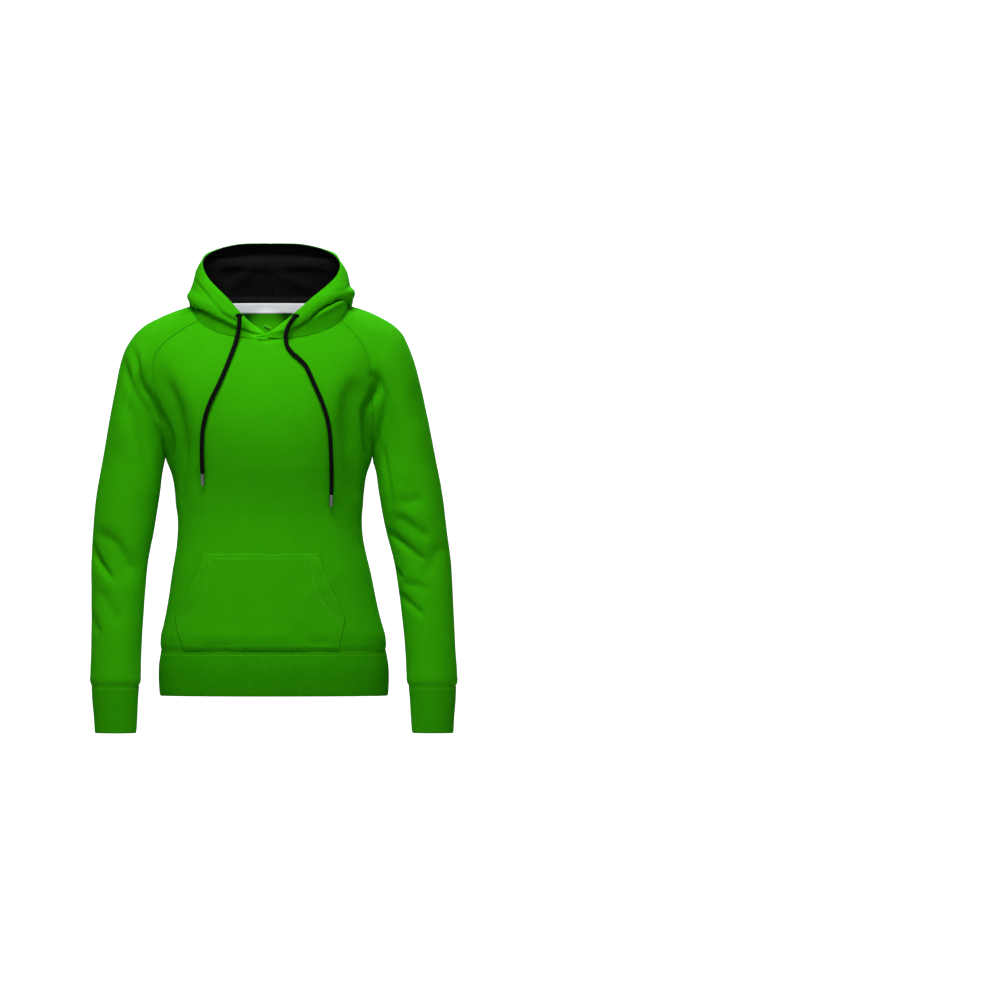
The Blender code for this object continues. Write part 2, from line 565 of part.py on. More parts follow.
def fold_height(points, folds):
    """How far the folds move each point, seen along Y: soft ridges and troughs that die out at both ends."""
    total = np.zeros(len(points))
    for fold in folds:
        start = np.array([fold.x0, fold.z0])
        along = np.array([fold.x1, fold.z1]) - start
        flat = points[:, [0, 2]] - start
        share = flat @ along / (along @ along)
        nearest = np.clip(share, 0, 1)
        distance = np.linalg.norm(flat - nearest[:, None] * along, axis=1)
        ends = np.sin(np.pi * np.clip(share * 0.8 + 0.1, 0, 1)) ** 0.8
        total += fold.height * ends * np.exp(-((distance / fold.half_width) ** 2))
    return total


def apply_folds(skin, folds, panels_of):
    normals = skin.normals()
    move = np.zeros(len(skin.points))
    for fold in folds:
        name, side = panels_of(fold)
        mine = np.zeros(len(skin.points), bool)
        mine[np.unique(skin.quads[skin.owner == name])] = True
        facing = np.clip(normals[:, 1] * side * 2.0, 0, 1)
        move += np.where(mine, facing, 0) * fold_height(skin.points, [fold])
    skin.points += normals * move[:, None]


# ---------------------------------------------------------------- from skin to solid pieces


def inset_directions(points, normals, quads):
    """For each point on the piece's edge, the way into the piece along its surface, and its seam count."""
    sides = {}
    for quad in quads:
        for i in range(4):
            a, b = quad[i], quad[(i + 1) % 4]
            sides.setdefault((min(a, b), max(a, b)), []).append((a, b))
    edges = [pair[0] for pair in sides.values() if len(pair) == 1 and pair[0][0] != pair[0][1]]
    inward = {}
    for a, b in edges:
        along = unit(points[b] - points[a])
        across = unit(np.cross(normals[a] + normals[b], along))
        for end in (a, b):
            inward.setdefault(end, []).append(across)
    return edges, inward


def split_quads(points, quads):
    """Triangles of quads, each split along its shorter diagonal."""
    triangles = []
    for a, b, c, d in quads:
        if np.linalg.norm(points[a] - points[c]) <= np.linalg.norm(points[b] - points[d]):
            halves = [(a, b, c), (a, c, d)]
        else:
            halves = [(a, b, d), (b, c, d)]
        triangles += [half for half in halves if len(set(half)) == 3]
    return triangles


def wall(middle, outer, inner, triangles, rims):
    """Closed wall: the outer and inner copies of the triangles, and the edge between them along the rims.

    Each rim is a (from, to) pair. Its two triangles meet on the same line in both of the pieces sewn there.
    """
    shift = len(middle)
    faces = [list(face) for face in triangles]
    faces += [[corner + shift for corner in reversed(face)] for face in triangles]
    for a, b in rims:
        if a < b:
            faces += [[b, a, b + shift], [a, a + shift, b + shift]]
        else:
            faces += [[b, a, a + shift], [b, a + shift, b + shift]]
    return np.concatenate([outer, inner]), [[int(corner) for corner in face] for face in faces]


def thick_piece(skin, normals, name, thickness):
    """Closed wall of one piece: an outer and an inner copy of its part of the skin, and the edge between."""
    quads = skin.quads[skin.owner == name]
    edges, inward = inset_directions(skin.points, normals, quads)
    points = skin.points.copy()
    for end, ways in inward.items():
        mean = unit(np.sum(ways, axis=0))
        slack = max(float(np.mean([mean @ way for way in ways])), 0.35)
        points[end] += mean * (SEAM_GAP / 2 + 0.00002) / slack
    used, compact = np.unique(quads, return_inverse=True)
    number = {int(old): new for new, old in enumerate(used)}
    offset = (normals * skin.mitres(normals)[:, None])[used] * thickness / 2
    middle = points[used]
    triangles = split_quads(middle, compact.reshape(quads.shape))
    rims = [(number[int(a)], number[int(b)]) for a, b in edges]
    return wall(middle, middle + offset, middle - offset, triangles, rims)


def grid_wall(outer, inner, closed=False):
    """Closed wall mesh between two grids of the same size. closed joins the last column to the first."""
    rows, columns = outer.shape[:2]
    ids = np.arange(rows * columns).reshape(rows, columns)
    if closed:
        ids = np.concatenate([ids, ids[:, :1]], axis=1)
    quads = np.stack([ids[:-1, :-1], ids[1:, :-1], ids[1:, 1:], ids[:-1, 1:]], -1).reshape(-1, 4)
    sides = [ids[0, ::-1], ids[-1]]
    if not closed:
        sides += [ids[:, 0], ids[::-1, -1]]
    rims = [(a, b) for side in sides for a, b in zip(side[:-1], side[1:])]
    middle = (outer.reshape(-1, 3) + inner.reshape(-1, 3)) / 2
    return wall(middle, outer.reshape(-1, 3), inner.reshape(-1, 3), split_quads(middle, quads), rims)


def swayed(points):
    moved = np.array(points, float)
    moved[:, 0] += smooth_curve(-column(SWAY, "z"), column(SWAY, "shift"), -moved[:, 2])
    return moved


def material(name):
    made = bpy.data.materials.get(name)
    if made is None:
        colour, roughness, metallic = MATERIALS[name]
        made = bpy.data.materials.new(name)
        made.use_nodes = True
        shader = made.node_tree.nodes["Principled BSDF"]
        shader.inputs["Base Color"].default_value = (*colour, 1)
        shader.inputs["Roughness"].default_value = roughness
        shader.inputs["Metallic"].default_value = metallic
    return made


def mesh_object(name, points, faces, finish, collection):
    """Object from a wall's points and faces, shaded smooth with its cut edges kept sharp."""
    mesh = bpy.data.meshes.new(name)
    mesh.from_pydata([tuple(p) for p in swayed(points)], [], faces)
    mesh.update()
    mesh.shade_smooth()
    mesh.set_sharp_from_angle(angle=math.radians(50))
    mesh.materials.append(material(finish))
    made = bpy.data.objects.new(name, mesh)
    collection.objects.link(made)
    return made


# ---------------------------------------------------------------- pieces that lie on the body


def front_point(tree, x, z):
    """The point of the skin seen at (x, z) from the front, and the outward normal there."""
    foot, normal, _, _ = tree.ray_cast(Vector((x, -0.5, z)), Vector((0, 1, 0)))
    return np.array(foot), np.array(normal)


def pocket_wall(skin, normals):
    """The pocket: the front panel's own surface inside the pocket's outline, moved out onto the panel."""
    triangles = np.array(split_quads(skin.points, skin.quads[skin.owner == "front"]))
    points = [Vector(p) for p in skin.points]
    cloth = bmesh.new()
    used = np.unique(triangles)
    made = {int(i): cloth.verts.new(points[i]) for i in used}
    for face in triangles:
        cloth.faces.new([made[int(i)] for i in face])
    corners = [(POCKET_X + side * row.half_width, row.z) for side in (1, -1) for row in POCKET[:: int(side)]]
    for (x0, z0), (x1, z1) in zip(corners, corners[1:] + corners[:1]):
        outward = Vector((z0 - z1, 0, x1 - x0))
        everything = cloth.verts[:] + cloth.edges[:] + cloth.faces[:]
        bmesh.ops.bisect_plane(
            cloth, geom=everything, plane_co=(x0, 0, z0), plane_no=outward, dist=1e-6, clear_outer=True
        )
    back_of_it = [face for face in cloth.faces if face.calc_center_median().y > 0]
    bmesh.ops.delete(cloth, geom=back_of_it, context="FACES")
    tree = BVHTree.FromPolygons(points, triangles.tolist())
    middle = np.array([vert.co for vert in cloth.verts])
    ways = []
    for point in middle:
        foot, _, index, _ = tree.find_nearest(Vector(point))
        face = triangles[index]
        ways.append(np.array(poly_3d_calc([points[i] for i in face], foot)) @ normals[face])
    cloth.verts.index_update()
    faces = [[vert.index for vert in face.verts] for face in cloth.faces]
    rims = [
        (loop.vert.index, loop.link_loop_next.vert.index)
        for face in cloth.faces
        for loop in face.loops
        if loop.edge.is_boundary
    ]
    cloth.free()
    ways = unit(np.array(ways))
    clear = FLEECE / 2 + SEAM_GAP + 0.0002
    return wall(middle, middle + ways * (clear + FLEECE), middle + ways * clear, faces, rims)


def cord_line(side, tree):
    """Points of a drawcord's free end: over the hood's band, then down on the chest."""
    chosen = CORDS[side]
    keys = np.arange(len(chosen), dtype=float)
    at_keys = np.linspace(0, keys[-1], 2 * len(chosen) + 3)
    xs = smooth_curve(keys, column(chosen, "x"), at_keys)
    zs = smooth_curve(keys, column(chosen, "z"), at_keys)
    clears = FLEECE / 2 + SEAM_GAP + CORD_D / 2 + np.linspace(0.0006, 0.0020, len(xs))
    line = np.array([[x, front_point(tree, x, z)[0][1] - clear, z] for x, z, clear in zip(xs, zs, clears)])
    for _ in range(8):
        soft = line[:, 1].copy()
        soft[1:-1] = (line[:-2, 1] + line[1:-1, 1] * 2 + line[2:, 1]) / 4
        line[:, 1] = np.minimum(line[:, 1], soft)
        for i, point in enumerate(line):
            _, _, _, distance = tree.find_nearest(Vector(point))
            if distance < clears[i]:
                line[i, 1] -= (clears[i] - distance) * 1.2
    return line


def cord_object(name, line, collection):
    """A drawcord as a tube along its line, its ends filled."""
    curve = bpy.data.curves.new(name, "CURVE")
    curve.dimensions = "3D"
    curve.bevel_depth = CORD_D / 2
    curve.bevel_resolution = 2
    curve.use_fill_caps = True
    spline = curve.splines.new("POLY")
    line = swayed(line)
    spline.points.add(len(line) - 1)
    for point, place in zip(spline.points, line):
        point.co = (*place, 1)
    curve.materials.append(material("black_cord"))
    made = bpy.data.objects.new(name, curve)
    collection.objects.link(made)
    return made


def tip_object(name, line, collection):
    """The metal tip on a cord's end: a short rod with rounded shoulders, in line with the cord."""
    line = swayed(line)
    along = Vector(unit(line[-1] - line[-3]))
    place = Vector(line[-1]) + along * (CORD_TIP / 2 + 0.0004)
    turn = along.to_track_quat("Z", "Y").to_euler()
    bpy.ops.mesh.primitive_cylinder_add(
        vertices=12, radius=0.0032, depth=CORD_TIP, location=place, rotation=turn
    )
    made = bpy.context.object
    made.name = name
    made.data.name = name
    made.data.materials.append(material("metal_tip"))
    bevel = made.modifiers.new("rounded ends", "BEVEL")
    bevel.width = 0.0008
    bevel.segments = 2
    for old in list(made.users_collection):
        old.objects.unlink(made)
    collection.objects.link(made)
    return made


# ---------------------------------------------------------------- the garment


def body_grids():
    """Grids of the outer cloth below the neck. Rows run down; columns run so that faces point out."""
    front = np.concatenate([yoke_panel(-1), torso_panel(-1, TORSO, UNDERARM_Z, HEM_SEAM_Z, TORSO_ROWS)[1:]])
    back = np.concatenate([yoke_panel(1), torso_panel(1, TORSO, UNDERARM_Z, HEM_SEAM_Z, TORSO_ROWS)[1:]])
    lower = sleeve_rings(SLEEVE, SLEEVE_ROWS)[1:]
    sleeves = {side: np.concatenate([yoke_sleeve(side), lower]) for side in ("left", "right")}
    band = [torso_panel(side, HEM_BAND, HEM_SEAM_Z, HEM_Z, BAND_ROWS) for side in (-1, 1)]
    cuff = sleeve_rings(CUFF, BAND_ROWS)
    return front, back, sleeves, band, cuff


def join_seams(front, back, sleeves, band, cuff):
    """Gives pieces that are sewn together the same points along their seams."""
    seam = YOKE_ROWS + 1
    for side, edge in (("left", -1), ("right", 0)):
        mirror = np.array([1.0 if side == "left" else -1.0, 1.0, 1.0])
        front[:seam, edge] = sleeves[side][:seam, 0] * mirror
        back[:seam, edge] = sleeves[side][:seam, -1] * mirror
        sleeves[side][YOKE_ROWS, 0] = sleeves[side][YOKE_ROWS, -1]
        front[YOKE_ROWS, edge] = sleeves[side][YOKE_ROWS, 0] * mirror
        back[YOKE_ROWS:, edge] = front[YOKE_ROWS:, edge]
        sleeves[side][YOKE_ROWS:, -1] = sleeves[side][YOKE_ROWS:, 0]
    band[0][0] = front[-1]
    band[1][0] = back[-1]
    for edge in (0, -1):
        band[1][:, edge] = band[0][:, edge]
    cuff[0] = sleeves["left"][-1]
    cuff[:, -1] = cuff[:, 0]


def straighten_neckline(front, back, sleeves):
    half = TORSO_COLUMNS // 2
    front[0] = straighten(front[0], half // NECK_PER_FRONT)
    back[0] = straighten(back[0], half // NECK_PER_BACK)
    for sleeve in sleeves.values():
        sleeve[0] = straighten(sleeve[0], SLEEVE_COLUMNS // NECK_PER_SLEEVE)


def neck_normals(skin, normals, ids):
    """Evens out the normals between the hood's columns, so that body and hood meet along one line."""
    half = TORSO_COLUMNS // 2
    steps = {"front": half // NECK_PER_FRONT, "back": half // NECK_PER_BACK}
    steps["sleeve_left"] = steps["sleeve_right"] = SLEEVE_COLUMNS // NECK_PER_SLEEVE
    for name, step in steps.items():
        row = skin.maps[ids[name]][0]
        normals[row] = straighten(normals[row], step)


def underarm_normals(skin, normals, ids):
    """Points the walls' offset at each underarm straight down, between the torso's side and the sleeve's."""
    for name in ("sleeve_left", "sleeve_right"):
        point = skin.maps[ids[name]][YOKE_ROWS, 0]
        normals[point] = unit(normals[point] * np.array([0.0, 1.0, 1.0]))


def build_skin():
    """The outer cloth as one welded skin, and the number of each grid in it."""
    front, back, sleeves, band, cuff = body_grids()
    join_seams(front, back, sleeves, band, cuff)
    straighten_neckline(front, back, sleeves)
    neck = neckline(front, back, sleeves["left"])
    skin = Skin()
    ids = {}
    ids["front"] = skin.add("front", front)
    ids["back"] = skin.add("back", back[:, ::-1])
    ids["sleeve_left"] = skin.add("sleeve_left", sleeves["left"])
    ids["sleeve_right"] = skin.add("sleeve_right", mirrored(sleeves["right"]))
    body = Skin()
    for name in ids:
        body.add(name, skin.grids[ids[name]])
    body.weld()
    skin.add("hem_band", band[0])
    skin.add("hem_band", band[1][:, ::-1])
    skin.add("cuff_left", cuff)
    skin.add("cuff_right", mirrored(cuff))
    ids["hood_left"] = skin.add("hood_left", hood_half("left", neck, body.tree()))
    ids["hood_right"] = skin.add("hood_right", mirrored(hood_half("right", neck, body.tree())))
    skin.weld()
    soften_underarm(skin)
    apply_folds(skin, FOLDS, lambda fold: (fold.panels, fold.side))
    return skin, ids


def soften_underarm(skin):
    """Rounds the crease where sleeves meet the body, most at the underarm. Band and hood seams stay put."""
    reach = (np.abs(skin.points) - np.array([0.175, 0.0, 0.180])) / np.array([0.05, 0.10, 0.09])
    weight = np.clip(1.4 - np.linalg.norm(reach, axis=1), 0, 1)
    body = np.zeros(len(skin.points), bool)
    for name in ("front", "back", "sleeve_left", "sleeve_right"):
        body[np.unique(skin.quads[skin.owner == name])] = True
    skin.smooth(np.where(body & (skin.points[:, 2] < -0.03), weight, 0), SHOULDER_SMOOTHING)


def fold_hood(skin, ids):
    """Presses the hood's V folds into its outer, lower layer."""
    normals = skin.normals()
    for name in ("hood_left", "hood_right"):
        outer_rows = skin.maps[ids[name]][HOOD_ROWS // 2 :]
        mine = np.unique(outer_rows)
        facing = np.clip(normals[mine, 1] * 2.0, 0, 1)
        skin.points[mine] += normals[mine] * (facing * fold_height(skin.points[mine], HOOD_FOLDS))[:, None]


def lining_wall(skin, normals, ids, name):
    """The lining of one hood half: the hood's own points from just above the neck seam to the rim, inside."""
    grid = skin.maps[ids[name]]
    ends = slice(0, LINED_COLUMNS) if name == "hood_left" else slice(-LINED_COLUMNS, None)
    grid = grid[:, ends]
    points = skin.points[grid].copy()
    ways = (normals * skin.mitres(normals)[:, None])[grid]
    points[0] = points[0] * (1 - LINING_START) + points[1] * LINING_START
    ways[0] = ways[0] * (1 - LINING_START) + ways[1] * LINING_START
    centre, side = (0, 1) if name == "hood_left" else (-1, -1)
    points[:, centre, 0] = side * (SEAM_GAP / 2 + 0.00002)
    ways[:, centre, 0] = 0
    clear = np.full((len(points), 1, 1), FLEECE / 2 + SEAM_GAP + 0.0001)
    clear[0] += 0.0008
    return grid_wall(points - ways * clear, points - ways * (clear + LINING))


def tape_wall(skin, normals, ids):
    """The neck tape, inside the back neck seam from shoulder to shoulder."""
    left, right = skin.maps[ids["hood_left"]], skin.maps[ids["hood_right"]]
    reach = NECK_PER_BACK + 2
    ring = [right[0, j] for j in range(-1 - reach, -1)] + [left[0, j] for j in range(reach + 1)]
    seam = skin.points[ring]
    inward = -unit(normals[ring] * np.array([1.0, 1.0, 0.0]))
    up = np.array([0.0, 0.0, 1.0])
    clear = FLEECE / 2 + 2 * SEAM_GAP + LINING + 0.0006
    offsets = [(TAPE_UP, clear + 0.0005), (0.0, clear), (-TAPE_DOWN, clear - 0.0008)]
    grid = np.array([seam + inward * inside + up * above for above, inside in offsets])
    return grid_wall(grid + inward * TAPE, grid)


def build():
    for old in list(bpy.data.objects):
        bpy.data.objects.remove(old)
    collection = bpy.data.collections.new("pullover_hoodie")
    bpy.context.scene.collection.children.link(collection)

    skin, ids = build_skin()
    fold_hood(skin, ids)
    normals = skin.normals()
    neck_normals(skin, normals, ids)
    underarm_normals(skin, normals, ids)
    for name in ("front", "back", "sleeve_left", "sleeve_right", "hood_left", "hood_right"):
        mesh_object(name, *thick_piece(skin, normals, name, FLEECE), "green_fleece", collection)
    for name in ("hem_band", "cuff_left", "cuff_right"):
        mesh_object(name, *thick_piece(skin, normals, name, RIB), "green_rib", collection)
    for name in ("hood_left", "hood_right"):
        lining = name.replace("hood", "hood_lining")
        mesh_object(lining, *lining_wall(skin, normals, ids, name), "black_jersey", collection)
    mesh_object("neck_tape", *tape_wall(skin, normals, ids), "white_tape", collection)

    tree = skin.tree()
    mesh_object("pocket", *pocket_wall(skin, normals), "green_fleece", collection)
    for side in ("left", "right"):
        line = cord_line(side, tree)
        cord_object(f"drawcord_{side}", line, collection)
        tip_object(f"cord_tip_{side}", line, collection)


build()
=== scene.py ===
"""The looks of the pullover hoodie: its cloth at fine scale, with folds, seams, stitches, ribs and knit.

Metres, +Z up, the garment faces -Y; left and right are the wearer's. The first half works out the same skin
as the solids, from the same tables. The second half reads that skin finely, adds what the cloth does between
the solids' points, and makes each sewn piece, its stitches and its materials.
"""

import math
from collections import namedtuple

import bpy
import numpy as np
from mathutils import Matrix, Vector
from mathutils.bvhtree import BVHTree


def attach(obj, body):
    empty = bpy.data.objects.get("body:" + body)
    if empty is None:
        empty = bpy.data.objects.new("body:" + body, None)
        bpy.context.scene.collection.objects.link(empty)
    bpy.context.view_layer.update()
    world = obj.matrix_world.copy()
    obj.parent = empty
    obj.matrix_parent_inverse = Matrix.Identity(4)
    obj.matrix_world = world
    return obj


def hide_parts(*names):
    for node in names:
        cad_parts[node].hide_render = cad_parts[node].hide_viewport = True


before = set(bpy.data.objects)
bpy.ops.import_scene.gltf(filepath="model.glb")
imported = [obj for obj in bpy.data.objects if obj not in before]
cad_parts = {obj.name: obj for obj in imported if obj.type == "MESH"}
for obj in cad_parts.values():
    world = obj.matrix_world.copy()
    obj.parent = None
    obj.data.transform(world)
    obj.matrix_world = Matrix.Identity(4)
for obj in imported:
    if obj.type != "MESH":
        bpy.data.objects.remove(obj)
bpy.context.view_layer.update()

# ---------------------------------------------------------------- driving dimensions

FLEECE = 0.0022  # wall of the brushed fleece
RIB = 0.0034  # doubled rib of the hem band and the cuffs
LINING = 0.0014  # jersey of the hood lining
TAPE = 0.0010  # woven neck tape
SEAM_GAP = 0.0003  # clear space between two sewn pieces

UNDERARM_Z = -0.242
HEM_SEAM_Z = -0.548
HEM_Z = -0.623

TORSO_COLUMNS = 20  # across the front panel, and across the back panel
SLEEVE_COLUMNS = 20  # around a sleeve
YOKE_ROWS = 8  # from the neckline to the underarm
TORSO_ROWS = 14  # from the underarm to the hem seam
SLEEVE_ROWS = 16  # from the underarm to the cuff seam
BAND_ROWS = 3  # down the hem band and the cuffs
HOOD_ROWS = 17  # from the neckline to the hood's rim

ROUNDNESS = 0.88  # power of the torso's cosine: under 1 flattens the front and back
SHOULDER_SMOOTHING = 20  # passes that soften the crease between sleeve and body

# ---------------------------------------------------------------- section tables

# A yoke round: where the raglan seams, the shoulder line and the panel centres are, from the neckline (0)
# down to the underarm (1). depth is the sleeve's half depth there, skew how far the front seam lies left.
YokeRound = namedtuple(
    "YokeRound",
    "at front_x front_y front_z back_x back_y back_z top_x top_z depth centre_front_z centre_back_z skew",
)
YOKE = [
    YokeRound(0.0, 0.117, -0.046, -0.005, 0.100, 0.040, 0.016, 0.122, 0.021, 0.042, -0.036, 0.017, 0.000),
    YokeRound(0.2, 0.157, -0.060, -0.036, 0.150, 0.058, -0.014, 0.170, 0.004, 0.058, -0.062, -0.014, -0.007),
    YokeRound(0.4, 0.177, -0.064, -0.070, 0.176, 0.064, -0.052, 0.212, -0.020, 0.065, -0.094, -0.056, -0.010),
    YokeRound(0.6, 0.186, -0.058, -0.110, 0.184, 0.060, -0.098, 0.238, -0.064, 0.067, -0.132, -0.106, -0.010),
    YokeRound(0.8, 0.183, -0.036, -0.172, 0.181, 0.042, -0.166, 0.256, -0.140, 0.066, -0.184, -0.174, -0.005),
    YokeRound(1.0, 0.165, 0.004, -0.242, 0.165, 0.004, -0.242, 0.273, -0.230, 0.060, -0.242, -0.242, 0.000),
]

# A height on the torso's centre lines, and its half width from the underarm down.
TorsoRing = namedtuple("TorsoRing", "z half_width front_y back_y side_y")
TORSO = [
    TorsoRing(0.020, 0.165, -0.060, 0.052, 0.000),
    TorsoRing(-0.036, 0.165, -0.080, 0.078, 0.000),
    TorsoRing(-0.090, 0.165, -0.110, 0.096, 0.002),
    TorsoRing(-0.150, 0.165, -0.129, 0.105, 0.003),
    TorsoRing(-0.205, 0.165, -0.131, 0.105, 0.004),
    TorsoRing(-0.242, 0.1640, -0.125, 0.099, 0.004),
    TorsoRing(-0.266, 0.1590, -0.119, 0.094, 0.004),
    TorsoRing(-0.295, 0.1555, -0.112, 0.087, 0.003),
    TorsoRing(-0.330, 0.1512, -0.107, 0.083, 0.002),
    TorsoRing(-0.365, 0.1525, -0.107, 0.085, 0.001),
    TorsoRing(-0.420, 0.1627, -0.111, 0.095, 0.000),
    TorsoRing(-0.490, 0.1755, -0.118, 0.108, -0.002),
    TorsoRing(-0.530, 0.1850, -0.122, 0.115, -0.003),
    TorsoRing(-0.540, 0.1865, -0.122, 0.116, -0.003),
    TorsoRing(-0.548, 0.1835, -0.117, 0.111, -0.003),
]
HEM_BAND = [
    TorsoRing(-0.548, 0.1835, -0.117, 0.111, -0.003),
    TorsoRing(-0.560, 0.1860, -0.120, 0.114, -0.003),
    TorsoRing(-0.600, 0.1880, -0.120, 0.114, -0.003),
    TorsoRing(-0.623, 0.1865, -0.116, 0.110, -0.003),
]

# A sleeve ring: its point nearest the body, its outermost point, its middle in depth and its half depth.
# lean tips the ring's front up as the forearm comes forward, in degrees.
SleeveRing = namedtuple("SleeveRing", "inner_x inner_z outer_x outer_z middle_y depth lean")
SLEEVE = [
    SleeveRing(0.165, -0.242, 0.273, -0.230, 0.004, 0.060, 0),
    SleeveRing(0.1700, -0.266, 0.2780, -0.256, 0.003, 0.059, 0),
    SleeveRing(0.1825, -0.300, 0.2848, -0.295, 0.001, 0.056, 1),
    SleeveRing(0.1920, -0.350, 0.2905, -0.348, -0.003, 0.052, 2),
    SleeveRing(0.2035, -0.400, 0.2955, -0.400, -0.008, 0.049, 3),
    SleeveRing(0.2115, -0.465, 0.2972, -0.465, -0.015, 0.046, 4),
    SleeveRing(0.2175, -0.535, 0.2988, -0.535, -0.025, 0.044, 4),
    SleeveRing(0.2195, -0.585, 0.3008, -0.585, -0.032, 0.043, 3),
    SleeveRing(0.2192, -0.600, 0.3015, -0.600, -0.034, 0.043, 3),
    SleeveRing(0.2235, -0.607, 0.2985, -0.607, -0.035, 0.039, 3),
]
CUFF = [
    SleeveRing(0.2235, -0.607, 0.2985, -0.607, -0.035, 0.039, 3),
    SleeveRing(0.2250, -0.620, 0.2985, -0.620, -0.037, 0.039, 2),
    SleeveRing(0.2262, -0.650, 0.2955, -0.650, -0.042, 0.037, 1),
    SleeveRing(0.2285, -0.684, 0.2935, -0.684, -0.047, 0.036, 0),
]

# The garment leans a little to the wearer's right: how far each height moves along X.
Sway = namedtuple("Sway", "z shift")
SWAY = [
    Sway(0.15, -0.0065), Sway(0.02, -0.005), Sway(-0.05, -0.0105), Sway(-0.13, -0.009), Sway(-0.25, -0.0075),
    Sway(-0.33, -0.007), Sway(-0.42, -0.0040), Sway(-0.54, -0.0010), Sway(-0.70, 0.0005),
]

# The hood's lower part, by its place along the neckline (0 at the centre back, 14 at the centre front). From
# the neckline the cloth stands up by stand and out by out, comes down by drop (at the front it goes on up),
# and runs to the fold edge, whose roundness is lip. It comes to the edge from a point that is near above it.
HoodFall = namedtuple("HoodFall", "column stand out drop near fold_x fold_y fold_z lip")
FALL_BEHIND = [
    HoodFall(0, 0.016, 0.010, 0.005, 0.010, 0.000, 0.110, -0.104, 0.010),
    HoodFall(2.5, 0.016, 0.010, 0.005, 0.010, 0.068, 0.104, -0.069, 0.009),
    HoodFall(4, 0.015, 0.010, 0.004, 0.008, 0.106, 0.087, -0.036, 0.007),
    HoodFall(5, 0.014, 0.009, 0.003, 0.007, 0.123, 0.066, -0.010, 0.006),
]
HOOD_FALL = {
    "right": [
        *FALL_BEHIND,
        HoodFall(6, 0.009, 0.007, 0.001, 0.003, 0.130, 0.040, 0.014, 0.005),
        HoodFall(7, 0.004, 0.003, -0.001, -0.001, 0.131, 0.010, 0.027, 0.004),
        HoodFall(8, 0.006, 0.001, -0.003, -0.003, 0.127, -0.022, 0.026, 0.003),
        HoodFall(9, 0.007, 0.001, -0.004, -0.003, 0.117, -0.046, 0.018, 0.003),
        HoodFall(11, 0.007, 0.001, -0.004, -0.003, 0.079, -0.072, -0.004, 0.002),
        HoodFall(12, 0.006, 0.001, -0.004, -0.003, 0.057, -0.078, -0.013, 0.001),
        HoodFall(13, 0.003, 0.000, -0.002, -0.002, 0.033, -0.080, -0.024, 0.000),
        HoodFall(14, 0.002, 0.000, -0.001, -0.001, 0.002, -0.080, -0.030, 0.000),
    ],
    "left": [
        *FALL_BEHIND,
        HoodFall(6, 0.009, 0.007, 0.001, 0.003, 0.130, 0.040, 0.015, 0.005),
        HoodFall(7, 0.004, 0.003, -0.001, -0.001, 0.131, 0.010, 0.030, 0.004),
        HoodFall(8, 0.006, 0.001, -0.004, -0.003, 0.128, -0.022, 0.031, 0.003),
        HoodFall(9, 0.008, 0.001, -0.005, -0.003, 0.120, -0.045, 0.025, 0.003),
        HoodFall(11, 0.008, 0.001, -0.005, -0.003, 0.082, -0.072, 0.003, 0.002),
        HoodFall(12, 0.006, 0.001, -0.004, -0.003, 0.060, -0.079, -0.008, 0.001),
        HoodFall(13, 0.003, 0.000, -0.003, -0.002, 0.032, -0.082, -0.022, 0.000),
        HoodFall(14, 0.001, 0.000, -0.001, -0.001, 0.002, -0.083, -0.032, 0.000),
        HoodFall(15, 0.001, 0.000, -0.001, -0.001, -0.0185, -0.084, -0.0340, 0.000),
    ],
}

# The hood's edge: the crease under the casing, the rim, how far the cloth swells between fold and crease,
# and how far the casing rolls out.
HoodEdge = namedtuple("HoodEdge", "column crease_x crease_y crease_z rim_x rim_y rim_z swell roll")
EDGE_BEHIND = [
    HoodEdge(0, 0.000, 0.103, 0.093, 0.000, 0.092, 0.125, 0.014, 0.010),
    HoodEdge(2.5, 0.058, 0.098, 0.091, 0.056, 0.086, 0.123, 0.013, 0.010),
    HoodEdge(5, 0.109, 0.062, 0.081, 0.101, 0.050, 0.108, 0.010, 0.009),
]
HOOD_EDGE = {
    "right": [
        *EDGE_BEHIND,
        HoodEdge(7, 0.124, 0.008, 0.062, 0.113, -0.002, 0.091, 0.006, 0.008),
        HoodEdge(9, 0.112, -0.044, 0.040, 0.103, -0.038, 0.064, 0.004, 0.005),
        HoodEdge(11, 0.078, -0.073, 0.013, 0.072, -0.068, 0.032, 0.001, 0.003),
        HoodEdge(12, 0.057, -0.079, 0.000, 0.054, -0.076, 0.013, 0.000, 0.002),
        HoodEdge(13, 0.034, -0.080, -0.016, 0.035, -0.079, -0.006, 0.000, 0.000),
        HoodEdge(14, 0.005, -0.080, -0.028, 0.008, -0.080, -0.025, 0.000, 0.000),
    ],
    "left": [
        *EDGE_BEHIND,
        HoodEdge(7, 0.125, 0.008, 0.062, 0.114, -0.002, 0.089, 0.004, 0.008),
        HoodEdge(9, 0.115, -0.044, 0.042, 0.104, -0.038, 0.065, 0.002, 0.005),
        HoodEdge(11, 0.079, -0.073, 0.014, 0.070, -0.068, 0.035, 0.001, 0.003),
        HoodEdge(12, 0.058, -0.080, 0.001, 0.050, -0.077, 0.017, 0.000, 0.002),
        HoodEdge(13, 0.030, -0.083, -0.016, 0.026, -0.082, -0.005, 0.000, 0.000),
        HoodEdge(14, 0.002, -0.084, -0.028, 0.003, -0.084, -0.024, 0.000, 0.000),
        HoodEdge(15, -0.016, -0.084, -0.0325, -0.013, -0.084, -0.0315, 0.000, 0.000),
    ],
}
NECK_PER_BACK = 5  # hood columns from the centre back to the back raglan seam
NECK_PER_SLEEVE = 4  # hood columns along a sleeve's neck edge
NECK_PER_FRONT = 5  # hood columns from the front raglan seam to the centre front
LINING_START = 0.72  # where the lining starts between the neck seam and the first row above it
